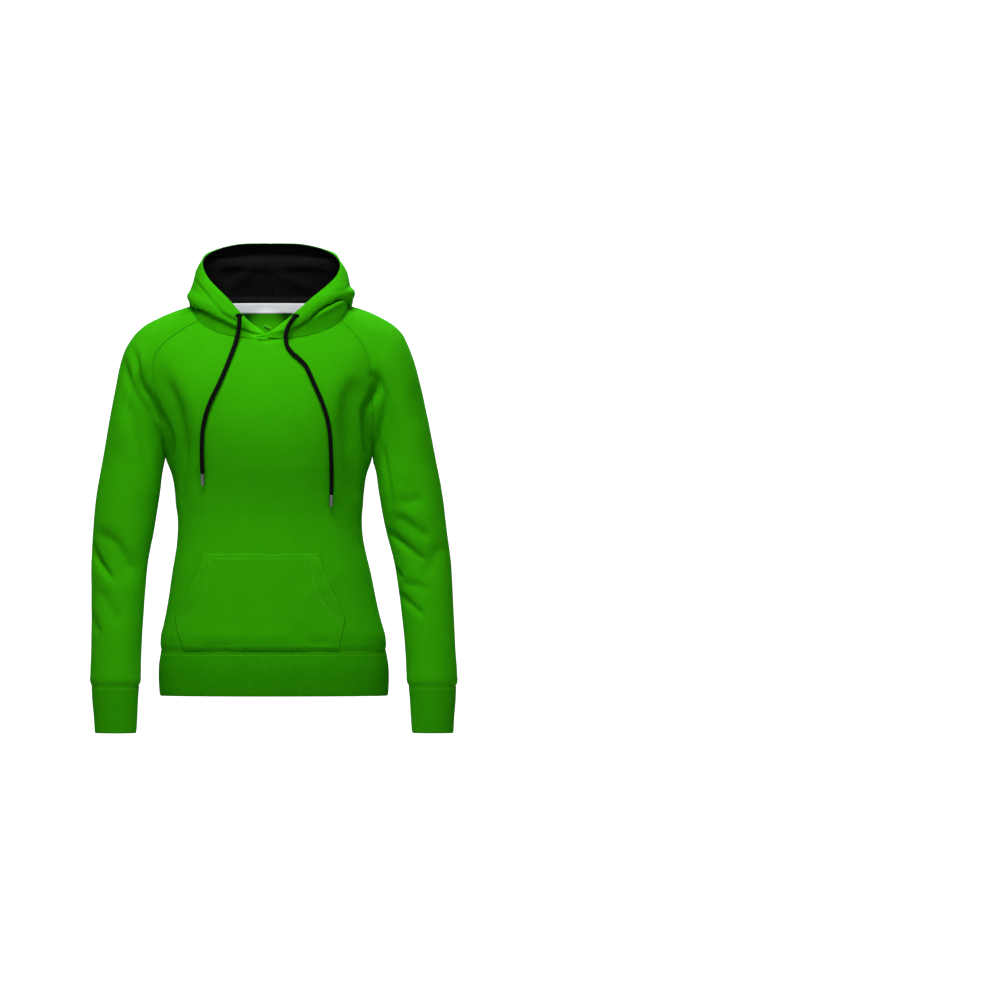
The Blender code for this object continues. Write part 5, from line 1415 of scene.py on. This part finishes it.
def beside_seam(piece, edges):
    """How far the cloth is drawn in beside its seams, per point, from 0 to 1; edges names the sewn sides."""
    columns = np.broadcast_to(piece.columns, piece.grid.shape[:2])
    rows = np.broadcast_to(piece.rows[:, None], piece.grid.shape[:2])
    ways = {
        "left": columns, "right": piece.columns[-1] - columns,
        "top": rows, "bottom": piece.rows[-1] - rows,
    }
    distance, depth = np.array(SEAM_PROFILE).T
    groove = np.zeros(piece.grid.shape[:2])
    for edge in edges:
        groove = np.maximum(groove, np.interp(ways[edge], distance, depth))
    return groove


def body_pieces(made):
    sheets = {}
    for name in BODY:
        piece = made[name]
        at_band = BAND_SEAM_SHARE * beside_seam(piece, ("bottom",))
        groove = np.maximum(beside_seam(piece, ("left", "right", "top")), at_band)
        outer, inner = fleece_wall(piece, np.ones(len(piece.rows)), groove)
        uv = flat_places(piece.grid)
        piece.outer = outer
        sheets[name] = cloth_object(name, piece.grid, outer, inner, "green_fleece", uv)
    return sheets


def hood_pieces(made):
    sheets = {}
    for side in ("left", "right"):
        name, lined = f"hood_{side}", f"hood_lining_{side}"
        piece = made[name]
        outer, inner = fleece_wall(piece, rolled(piece.rows), beside_seam(piece, ("top", side)))
        piece.outer = outer
        uv = flat_places(piece.grid, 0.0 if side == "left" else 1.0)
        sheets[name] = cloth_object(name, piece.grid, outer, inner, "green_fleece", uv)
        lining = lining_grids(piece, side)
        sheets[lined] = cloth_object(lined, *lining, "black_jersey", flat_places(lining[0]))
    return sheets


# Ridges in the lining at the back of the hood: its centre seam, two soft folds and the step below the casing.
LINING_RIDGES = [
    Crease(1, 0.0022, 0.0018, [(0.003, 0.090), (-0.001, 0.070), (0.001, 0.050), (0.0, 0.036)]),
    Crease(1, 0.0090, 0.0035, [(-0.030, 0.083), (-0.052, 0.066), (-0.078, 0.050)]),
    Crease(1, 0.0080, 0.0030, [(0.004, 0.078), (0.034, 0.063), (0.070, 0.048)]),
    Crease(1, 0.0050, 0.0035, [
        (-0.110, 0.080), (-0.060, 0.088), (0.000, 0.084), (0.060, 0.088), (0.105, 0.080),
    ]),
]


def lining_grids(piece, side):
    """The lining's middle, outer and inner grids: the hood's own from just above the neck seam to the rim."""
    from_back = piece.columns if side == "left" else piece.columns[-1] - piece.columns
    columns = from_back <= LINED_COLUMNS - 1 + 1e-6
    rows = piece.rows >= LINING_START - 1e-6
    keep = rolled(piece.rows)[rows][:, None, None]
    grid = piece.grid[rows][:, columns]
    ways = piece.normals[rows][:, columns]
    clear = (FLEECE / 2) * keep + 0.0001
    flat = grid.reshape(-1, 3)
    ridge = sum(crease_height(flat, crease) for crease in LINING_RIDGES).reshape(grid.shape[:2])
    weight = faced(ways, 1) * (keep[..., 0] >= 1)
    ridge = (np.clip(ridge, -0.5 * LINING, 0.004) * weight)[..., None]
    outer = grid - ways * clear
    inner = grid - ways * (clear + LINING * keep + ridge)
    return (outer + inner) / 2, outer, inner


RIB_HEIGHT = 0.0003
PER_RIB = 4  # columns of points to each rib
HEM_RIBS = 300
CUFF_RIBS = 84


def ring_piece(name, grids, ribs, rows):
    """A closed rib band: fine vertical ribs, rolled over at its lower edge."""
    ring = np.concatenate([grids[0]] + [grid[:, 1:] for grid in grids[1:]], axis=1)
    cells = ring.shape[1] - 1
    columns = np.linspace(0, cells, ribs * PER_RIB + 1)
    at_rows = places(len(ring) - 1, rows, (0.04, 0.1), RIM_PLACES)
    grid = down(across(ring, columns, ring[:, -2], ring[:, 1]), at_rows)
    grid[:, -1] = grid[:, 0]
    normals = ring_normals(grid)
    normals[:, -1] = normals[:, 0]
    keep = rolled(at_rows)[:, None]
    wave = np.abs(np.cos(np.arange(ribs * PER_RIB + 1) * math.pi / 4))
    height = (RIB_HEIGHT * (wave - 0.6))[None, :] * keep
    half = RIB / 2 * keep
    outer = grid + normals * (half + height)[..., None]
    inner = grid - normals * (half + height * 0.5)[..., None]
    made = cloth_object(name, grid, outer, inner, "green_rib", flat_places(grid))
    band = Piece(grid, at_rows, columns)
    band.outer, band.normals = outer, normals
    return made, band


def band_pieces(skin):
    at = {}
    for i, name in enumerate(skin.names):
        at.setdefault(name, []).append(skin.points[skin.maps[i]])
    sheets, bands = {}, {}
    for name in ("hem_band", "cuff_left", "cuff_right"):
        ribs, rows = (HEM_RIBS, 3) if name == "hem_band" else (CUFF_RIBS, 4)
        sheets[name], bands[name] = ring_piece(name, at[name], ribs, rows)
    return sheets, bands


TAPE_ROWS = 12
TAPE_HALF_COLUMNS = 56
TAPE_INSET = 0.0021  # from the tape's edges to its stitches


def tape_piece(skin, ids):
    """The neck tape, inside the back neck seam from shoulder to shoulder."""
    at = np.linspace(0, NECK_PER_BACK + 2, TAPE_HALF_COLUMNS + 1)
    right, left = (neck_at(neck_ring(skin, ids, side), at) for side in ("right", "left"))
    ring = np.concatenate([right[::-1], left[1:]])
    along = np.gradient(ring, axis=0)
    inward = unit(np.stack([along[:, 1], -along[:, 0], np.zeros(len(ring))], 1))
    clear = FLEECE / 2 + 2 * SEAM_GAP + LINING + 0.0006
    grid = []
    for z in np.linspace(TAPE_UP, -TAPE_DOWN, TAPE_ROWS + 1):
        offset = clear + (0.0005 * z / TAPE_UP if z > 0 else 0.0008 * z / TAPE_DOWN)
        grid.append(ring + inward * offset + np.array([0.0, 0.0, z]))
    grid = np.array(grid)
    row = np.arange(TAPE_ROWS + 1)
    edge = np.minimum(row, TAPE_ROWS - row) / 1.5
    thick = (TAPE * np.clip(edge, 0.3, 1))[:, None, None]
    inner = grid + inward * thick
    made = cloth_object("neck_tape", (grid + inner) / 2, inner, grid, "white_tape", flat_places(grid))
    for name, z in (("low", -TAPE_DOWN + TAPE_INSET), ("high", TAPE_UP - TAPE_INSET)):
        line = ring + inward * (clear + TAPE + 0.0003) + np.array([0.0, 0.0, z])
        stitches(f"tape_stitches_{name}", [(line, inward)], "white_thread")
    return made


# The lines of stitches that hold the pocket's facings, as (x, z) from the garment's middle.
FACING_STITCHES = [
    [
        (-0.101, -0.399), (-0.102, -0.414), (-0.107, -0.443), (-0.116, -0.459), (-0.126, -0.475),
        (-0.136, -0.488), (-0.148, -0.502),
    ],
    [
        (0.067, -0.399), (0.067, -0.420), (0.070, -0.442), (0.079, -0.462), (0.089, -0.476),
        (0.099, -0.490), (0.108, -0.502),
    ],
]


POCKET_ROWS = 112
POCKET_COLUMNS = 160


def pocket_half(z):
    """Half the pocket's width at a height; its openings curve in a little."""
    half = np.interp(-np.asarray(z), -column(POCKET, "z"), column(POCKET, "half_width"))
    share = np.clip((POCKET[1].z - z) / (POCKET[1].z - POCKET[2].z), 0, 1)
    return half - 0.0035 * np.sin(math.pi * share**0.7)


def pocket_middle(z):
    """The pocket's middle at a height: its top lies a little to the left."""
    return POCKET_X + 0.005 * np.clip((z - POCKET[2].z) / (POCKET[0].z - POCKET[2].z), 0, 1)


def pocket_lines():
    """The pocket's rows of stitches as paths in x and z: two under its top, its facings' and its edges'."""
    top, shoulder, corner, widest, foot = POCKET
    lines = []
    for drop in (0.0030, 0.0072):
        z = top.z - drop
        half = float(pocket_half(z)) - 0.002
        lines.append([(pocket_middle(z) - half, z), (pocket_middle(z) + half, z)])
    for path in FACING_STITCHES:
        for shift in (-0.0017, 0.0017):
            lines.append([(x + shift, z) for x, z in path])
    opening = (np.linspace(shoulder.z, corner.z, 12), STITCH_INSET)
    sewn_side = ((widest.z, foot.z + 0.002), 0.0026)
    for side in (-1, 1):
        for heights, inset in (opening, sewn_side):
            lines.append([(pocket_middle(z) + side * (float(pocket_half(z)) - inset), z) for z in heights])
    return lines


def pocket_piece(made):
    """The kangaroo pocket on the front panel: flat where it is sewn, lifted a little at its openings."""
    tree = tree_of(made["front"].outer)
    even = np.linspace(POCKET[0].z, POCKET[-1].z, POCKET_ROWS + 1)
    heights = np.unique(np.concatenate([even, column(POCKET, "z")]))[::-1]
    edge = pocket_half(heights)
    shares = np.linspace(-1, 1, POCKET_COLUMNS + 1)
    grid = np.zeros((len(heights), len(shares), 3))
    ways = np.zeros_like(grid)
    for i, (z, half) in enumerate(zip(heights, edge)):
        for j, share in enumerate(shares):
            grid[i, j], ways[i, j] = front_point(tree, pocket_middle(z) + share * half, z)
    for _ in range(4):
        ways[1:-1] = (ways[:-2] + 2 * ways[1:-1] + ways[2:]) / 4
        ways[:, 1:-1] = (ways[:, :-2] + 2 * ways[:, 1:-1] + ways[:, 2:]) / 4
    ways = unit(ways)
    to_side = (1 - np.abs(shares))[None, :] * edge[:, None]
    opens = np.clip((heights - POCKET[2].z) / 0.02, 0, 1) * np.clip((POCKET[0].z - heights) / 0.02, 0, 1)
    lift = 0.0022 * opens[:, None] * np.exp(-((to_side / 0.022) ** 2))
    sewn = np.minimum(to_side, np.minimum(POCKET[0].z - heights, heights - POCKET[-1].z)[:, None])
    roll = np.sqrt(1 - (1 - np.clip(sewn / 0.0025, 0, 1)) ** 2) * 0.85 + 0.15
    base = grid + ways * (0.0003 + lift)[..., None]
    pressed = np.zeros(grid.shape[:2])
    for path in pocket_lines():
        distance, _, _, _ = along_path(grid.reshape(-1, 3)[:, [0, 2]], path)
        pressed = np.maximum(pressed, np.exp(-((distance.reshape(pressed.shape) / 0.0012) ** 2)))
    top = base + ways * (FLEECE * roll * (1 - 0.45 * pressed))[..., None]
    piece = Piece((base + top) / 2, heights, shares)
    piece.outer = top
    piece.normals = ways
    return cloth_object("pocket", piece.grid, top, base, "green_fleece", flat_places(grid)), piece


# ---------------------------------------------------------------- stitches

STITCH = 0.0029  # length of a stitch
STITCH_STEP = 0.0034  # from one stitch to the next
THREAD = 0.0008  # thickness of the thread
STITCH_INSET = 0.0024  # from a seam or an edge to the stitches beside it

# Where stitches run beside a piece's edge: the piece, the edge, how far in, and the first and last rows or
# columns as shares of the edge.
Seam = namedtuple("Seam", "piece edge inset first last")
YOKE_SHARE = YOKE_ROWS / (YOKE_ROWS + TORSO_ROWS)
SLEEVE_SHARE = YOKE_ROWS / (YOKE_ROWS + SLEEVE_ROWS)
SEAMS = [
    Seam(piece, edge, STITCH_INSET, 0.0, SLEEVE_SHARE if piece.startswith("sleeve") else YOKE_SHARE)
    for piece in BODY for edge in ("left", "right")
]
SEAMS += [Seam(piece, edge, STITCH_INSET, 0.0, 1.0) for edge in ("top", "bottom") for piece in BODY]
SEAMS += [
    Seam("hem_band", "top", 0.0078, 0.0, 1.0),
    Seam("cuff_left", "top", 0.0062, 0.0, 1.0),
    Seam("cuff_right", "top", 0.0062, 0.0, 1.0),
    Seam("hood_left", "left", STITCH_INSET, 0.03, 0.985),
    Seam("hood_right", "right", STITCH_INSET, 0.03, 0.985),
    Seam("hood_left", "bottom", 0.0225, 0.0, 1.0),
    Seam("hood_right", "bottom", 0.0225, 0.0, 1.0),
]

# The dark tack is painted shadow: a dark thread laid just under the light tack, where its shade falls.
BAR_TACKS = {
    "black": [(-0.0081, -0.0138), (0.0021, -0.0185)],
    "pale_green": [(-0.0084, -0.0099), (0.0044, -0.0158)],
}
EYELETS = {"right": (-0.0510, 0.0030), "left": (0.0420, 0.0022)}
EYELET_SIDES = 72


def beside_edge(piece, seam):
    """Points and normals of a line on a piece's outer face, a distance in from one of its edges."""
    outer, ways = piece.outer, piece.normals
    if seam.edge in ("left", "right"):
        outer, ways = outer.swapaxes(0, 1), ways.swapaxes(0, 1)
        cells = piece.rows
    else:
        cells = piece.columns
    if seam.edge in ("right", "bottom"):
        outer, ways = outer[::-1], ways[::-1]
    steps = np.linalg.norm(np.diff(outer, axis=0), axis=2)
    far = np.concatenate([np.zeros((1, outer.shape[1])), np.cumsum(steps, axis=0)])
    share = (cells - cells[0]) / (cells[-1] - cells[0])
    kept = np.flatnonzero((share >= seam.first - 1e-6) & (share <= seam.last + 1e-6))
    line, line_ways = [], []
    for k in kept:
        line.append([np.interp(seam.inset, far[:, k], outer[:, k, axis]) for axis in range(3)])
        line_ways.append([np.interp(seam.inset, far[:, k], ways[:, k, axis]) for axis in range(3)])
    return np.array(line), unit(np.array(line_ways))


def way_along(line):
    """How far along a line each of its points is."""
    return np.concatenate([[0], np.cumsum(np.linalg.norm(np.diff(line, axis=0), axis=1))])


def between(at, way, values):
    """Rows of values, which belong to the distances in way, read at other distances."""
    return np.stack([np.interp(at, way, values[:, k]) for k in range(values.shape[1])], 1)


# A stitch: how far along it each ring of its thread is, the ring's height and its thickness.
StitchRing = namedtuple("StitchRing", "along height thickness")
STITCH_RINGS = [
    StitchRing(0.0, -0.35, 0.5), StitchRing(0.22, 0.15, 1.0),
    StitchRing(0.78, 0.15, 1.0), StitchRing(1.0, -0.35, 0.5),
]
THREAD_SIDES = 4


def stitches(name, lines, finish):
    """Stitches along lines of points and normals: each is a short thread that dips in at its ends."""
    along, height, thickness = (column(STITCH_RINGS, field) for field in StitchRing._fields)
    turn = np.arange(THREAD_SIDES) * math.pi / 2
    ids = np.arange(len(STITCH_RINGS) * THREAD_SIDES).reshape(-1, THREAD_SIDES)
    joined = np.concatenate([ids, ids[:, :1]], axis=1)
    round_it = np.stack([joined[:-1, :-1], joined[:-1, 1:], joined[1:, 1:], joined[1:, :-1]], -1)
    of_one = np.concatenate([round_it.reshape(-1, 4), [ids[0, ::-1], ids[-1]]])
    points = []
    for line, ways in lines:
        way = way_along(line)
        for start in np.arange(0, way[-1] - STITCH, STITCH_STEP):
            at = start + STITCH * along
            centre = between(at, way, line)
            up = unit(between(at, way, ways))
            side = unit(np.cross(up, centre[-1] - centre[0]))
            centre = centre + up * (THREAD * height)[:, None]
            radius = (THREAD / 2 * thickness)[:, None, None]
            ring = np.cos(turn)[None, :, None] * side[:, None] + np.sin(turn)[None, :, None] * up[:, None]
            points.append((centre[:, None] + radius * ring).reshape(-1, 3))
    firsts = np.arange(len(points)) * ids.size
    faces = (firsts[:, None, None] + of_one).reshape(-1, 4)
    mesh_object(name, swayed(np.concatenate(points)), faces.tolist(), finish)


def on_pocket(pocket, path):
    """A path in x and z laid on the pocket's face, as points and normals every 2 mm."""
    tree = tree_of(pocket.outer)
    path = np.array(path, float)
    way = way_along(path)
    at = np.linspace(0, way[-1], max(2, int(way[-1] / 0.002)))
    laid = [front_point(tree, x, z) for x, z in between(at, way, path)]
    return np.array([point for point, _ in laid]), np.array([normal for _, normal in laid])


def pocket_stitches(pocket):
    stitches("pocket_stitches", [on_pocket(pocket, path) for path in pocket_lines()], "pale_green_thread")


def seam_stitches(made, bands):
    groups = {}
    for seam in SEAMS:
        piece = made.get(seam.piece) or bands[seam.piece]
        at_band = seam.piece in bands or seam.edge == "bottom" and not seam.piece.startswith("hood")
        kind = "band" if at_band else "hood" if seam.piece.startswith("hood") else "body"
        groups.setdefault(kind, []).append(beside_edge(piece, seam))
    for kind, lines in groups.items():
        stitches(f"{kind}_stitches", lines, "pale_green_thread" if kind == "band" else "green_thread")


def eyelets(made):
    """Thread-bound eyelets where the drawcords leave the casing; their dark thread is painted shade round each
    cord's exit.
    """
    for side, (x, z) in EYELETS.items():
        centre, up = front_point(tree_of(made[f"hood_{side}"].outer), x, z)
        first = unit(np.cross(up, [0.0, 0.0, 1.0]))
        second = np.cross(up, first)
        turn = np.linspace(0, 2 * math.pi, EYELET_SIDES + 1)
        ring = 1.1 * np.cos(turn)[:, None] * first + 0.65 * np.sin(turn)[:, None] * second
        reach = np.array([0.0001, 0.0022, 0.0034, 0.0046, 0.0054, 0.0058])
        threads = 1 + 0.2 * np.cos(EYELET_SIDES / 2 * turn)
        height = np.array([0.0, 0.0, 0.0005, 0.0008, 0.0005, -0.0003]) * threads[:, None]
        grid = centre + reach[None, :, None] * ring[:, None] + height[..., None] * up
        faces = quads_of(np.arange(grid.size // 3).reshape(grid.shape[:2]))
        # The eyelet's dark thread paints the shade where the cord goes into the casing.
        mesh_object(f"eyelet_{side}", swayed(grid.reshape(-1, 3)), faces.tolist(), "black_thread")


def bar_tack(made):
    """A light bar tack on the inside of the back panel below the tape, and just under it a dark tack that is
    painted shadow of the light one.
    """
    tree = tree_of(made["back"].grid - made["back"].normals * (FLEECE / 2))
    for colour, ends in BAR_TACKS.items():
        laid = [front_point(tree, x, z) for x, z in ends]
        line = np.linspace(laid[0][0], laid[1][0], 7) + np.array([0.0, -0.0004, 0.0])
        ways = np.broadcast_to([0.0, -1.0, 0.0], line.shape)
        rows = [(line + np.array([0.0, 0.0, drop]), ways) for drop in (0.0, -0.0007, -0.0014)]
        stitches(f"tack_{colour}", rows, f"{colour}_thread")


# ---------------------------------------------------------------- drawcords


def cord_pieces(skin):
    """Braided drawcords on the same routes as the solids, with their metal tips."""
    tree = skin.tree()
    for side in ("left", "right"):
        line = swayed(cord_line(side, tree))
        at = np.linspace(0, len(line) - 1, 12 * (len(line) - 1) + 1)
        path = smooth_curve(np.arange(len(line)), line, at)
        cord = braid(f"drawcord_{side}_braid", path)
        tip = metal_tip(f"cord_tip_{side}_metal", path)
        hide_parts(f"drawcord_{side}")
        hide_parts(f"cord_tip_{side}")


BRAID_STEP = 0.0006  # from one ring of points to the next
BRAID_TURN = 0.0085  # length in which a strand goes once round the cord
ROUND_SIDES = 32


def frames_along(path):
    """Two unit vectors across a path that don't twist along it."""
    along = unit(np.gradient(path, axis=0))
    side = np.zeros_like(path)
    side[0] = unit(np.cross(along[0], [0.0, 1.0, 0.0]))
    for i in range(1, len(path)):
        side[i] = unit(side[i - 1] - along[i] * (side[i - 1] @ along[i]))
    return side, np.cross(along, side)


def braid(name, path):
    """A round cord with the crossing strands of a braid in its surface, and filled ends."""
    way = way_along(path)
    at = np.linspace(0, way[-1], int(way[-1] / BRAID_STEP) + 1)
    centre = between(at, way, path)
    side, up = frames_along(centre)
    angle = np.linspace(0, 2 * math.pi, ROUND_SIDES + 1)
    turn = at[:, None] / BRAID_TURN * 2 * math.pi
    strands = np.maximum(np.abs(np.cos(4 * angle + turn)), np.abs(np.cos(4 * angle - turn)))
    radius = CORD_D / 2 * (0.93 + 0.07 * strands)
    ends = np.minimum(at, at[-1] - at) / 0.0012
    radius *= np.sqrt(1 - (1 - np.clip(ends, 0, 1)) ** 2)[:, None] * 0.6 + 0.4
    grid = centre[:, None] + radius[..., None] * (
        np.cos(angle)[None, :, None] * side[:, None] + np.sin(angle)[None, :, None] * up[:, None]
    )
    return tube_object(name, grid, "black_cord", at, angle * CORD_D / 2)


def tube_object(name, grid, finish, down_at, round_at):
    """A closed tube from rings whose first and last columns meet; its ends are filled."""
    rings, sides = grid.shape[0], grid.shape[1] - 1
    ids = np.arange(rings * sides).reshape(rings, sides)
    ids = np.concatenate([ids, ids[:, :1]], axis=1)
    quads = quads_of(ids)
    faces = quads[:, ::-1].tolist() + [ids[0, :-1].tolist(), ids[-1, -2::-1].tolist()]
    uv = np.stack(np.broadcast_arrays(round_at[None, :], -down_at[:, None]), -1)
    loops = np.concatenate([loop_places(uv)[:, ::-1].reshape(-1, 2), np.zeros((2 * sides, 2))])
    return mesh_object(name, grid[:, :-1].reshape(-1, 3), faces, finish, loops)


TipRing = namedtuple("TipRing", "along radius")
TIP = [
    TipRing(0.0000, 0.0026), TipRing(0.0004, 0.0031), TipRing(0.0010, 0.0032), TipRing(0.0016, 0.0030),
    TipRing(0.0024, 0.0030), TipRing(0.0030, 0.0032), TipRing(0.0170, 0.0032), TipRing(0.0176, 0.0030),
    TipRing(0.0184, 0.0030), TipRing(0.0190, 0.0032), TipRing(0.0196, 0.0031), TipRing(0.0200, 0.0026),
]


def metal_tip(name, path):
    """The turned metal tip on a cord's end, with a rolled groove at each end."""
    along = unit(path[-1] - path[-8])
    side = unit(np.cross(along, [0.0, 1.0, 0.0]))
    up = np.cross(along, side)
    angle = np.linspace(0, 2 * math.pi, ROUND_SIDES + 1)
    start = path[-1] + along * 0.0004
    rings = []
    for ring in TIP:
        circle = ring.radius * (np.cos(angle)[:, None] * side + np.sin(angle)[:, None] * up)
        rings.append(start + along * ring.along + circle)
    made = tube_object(name, np.array(rings), "metal_tip", column(TIP, "along"), angle * CORD_D / 2)
    made.data.set_sharp_from_angle(angle=math.radians(40))
    return made


# ---------------------------------------------------------------- floor, light and camera

VIEW_FAR = 20.0
VIEW_WIDTH = 1.65  # what the frame takes in across, where the garment hangs
VIEW_HEIGHT = -0.3003
FRAME_SIDE = 0.3729  # how far the garment's middle is left of the frame's
FLOOR_Z = -2.6
STUDIO_R = 25.0  # the wall round the studio
STUDIO_SIDES = 72
SENSOR = 36.0  # width of the camera's film, in millimetres


def look_at(obj, target):
    way = Vector(target) - obj.location
    obj.rotation_euler = way.to_track_quat("-Z", "Y").to_euler()


# A lamp: its power in watts, where it hangs, what it is aimed at, and the side of its square (none is a spot).
Lamp = namedtuple("Lamp", "name power place target side")
LAMPS = [
    Lamp("key", 53, (-0.22, -1.15, 1.6), (0, 0, -0.15), 0.8),
    Lamp("front", 12, (0.6, -5.5, 0.0), (0, 0, -0.3), 1.6),
    Lamp("back", 52, (0.4, 1.25, 1.6), (0, 0, -0.15), 0.8),
    Lamp("collar", 330, (0.0, -3.0, 0.1), (-0.012, 0.055, -0.019), None),
]
SPOT_BEAM = 1.5  # in degrees


def hang_lamp(lamp):
    data = bpy.data.lights.new(lamp.name, "AREA" if lamp.side else "SPOT")
    data.energy = lamp.power
    if lamp.side:
        data.shape = "RECTANGLE"
        data.size = data.size_y = lamp.side
    else:
        data.spot_size = math.radians(SPOT_BEAM)
        data.spot_blend = 1.0
    made = bpy.data.objects.new(lamp.name, data)
    made.location = lamp.place
    bpy.context.scene.collection.objects.link(made)
    look_at(made, lamp.target)


def studio():
    """A pale floor that turns up into a bright wall far off on all sides, soft lights and a long lens."""
    profile = [(0.01, 0.0), (3.0, 0.0), (10.0, 0.0), (18.0, 0.0), (STUDIO_R, 0.05), (STUDIO_R, 4.4)]
    turns = np.linspace(0, 2 * math.pi, STUDIO_SIDES + 1)[:-1]
    points = [(r * math.cos(t), r * math.sin(t), FLOOR_Z + z) for t in turns for r, z in profile]
    count = len(profile)
    ids = np.arange(STUDIO_SIDES * count).reshape(STUDIO_SIDES, count)
    beside = np.roll(ids, -1, axis=0)
    faces = np.stack([ids[:, :-1], ids[:, 1:], beside[:, 1:], beside[:, :-1]], -1).reshape(-1, 4).tolist()
    faces.append(ids[::-1, 0].tolist())
    mesh = bpy.data.meshes.new("floor")
    mesh.from_pydata(points, [], faces)
    mesh.materials.append(bpy.data.materials["pale_floor_look"])
    mesh.materials.append(bpy.data.materials["bright_wall_look"])
    for face in mesh.polygons:
        face.material_index = int(face.center.z > FLOOR_Z + 0.1)
    floor = bpy.data.objects.new("floor", mesh)
    bpy.context.scene.collection.objects.link(floor)
    world = bpy.context.scene.world or bpy.data.worlds.new("studio")
    bpy.context.scene.world = world
    world.use_nodes = True
    background = world.node_tree.nodes["Background"]
    background.inputs["Color"].default_value = (1, 1, 1, 1)
    background.inputs["Strength"].default_value = 0.03
    bpy.context.scene.view_settings.view_transform = "Standard"
    for lamp in LAMPS:
        hang_lamp(lamp)
    camera = bpy.data.cameras.new("camera")
    camera.sensor_width = SENSOR
    camera.lens = SENSOR * VIEW_FAR / VIEW_WIDTH
    camera.clip_end = 120
    viewer = bpy.data.objects.new("camera", camera)
    viewer.location = (0.0, -VIEW_FAR, VIEW_HEIGHT)
    bpy.context.scene.collection.objects.link(viewer)
    look_at(viewer, (FRAME_SIDE, 0.0, VIEW_HEIGHT))
    bpy.context.scene.camera = viewer


def build():
    skin, ids = build_skin()
    fold_hood(skin, ids)
    make_materials()
    made = fine_pieces(skin, ids)
    fine_normals(made)
    press_body(made)
    press_hood(made)
    gather_at_bands(made)
    fine_normals(made)
    sheets = body_pieces(made)
    sheets.update(hood_pieces(made))
    band_sheets, bands = band_pieces(skin)
    sheets.update(band_sheets)
    sheets["neck_tape"] = tape_piece(skin, ids)
    sheets["pocket"], pocket = pocket_piece(made)
    seam_stitches(made, bands)
    pocket_stitches(pocket)
    eyelets(made)
    bar_tack(made)
    cord_pieces(skin)
    studio()


# The flat cut of each piece: its width, its length and its area, and the pieces that it hangs from.
Cut = namedtuple("Cut", "piece width length area hangs_from")


build()
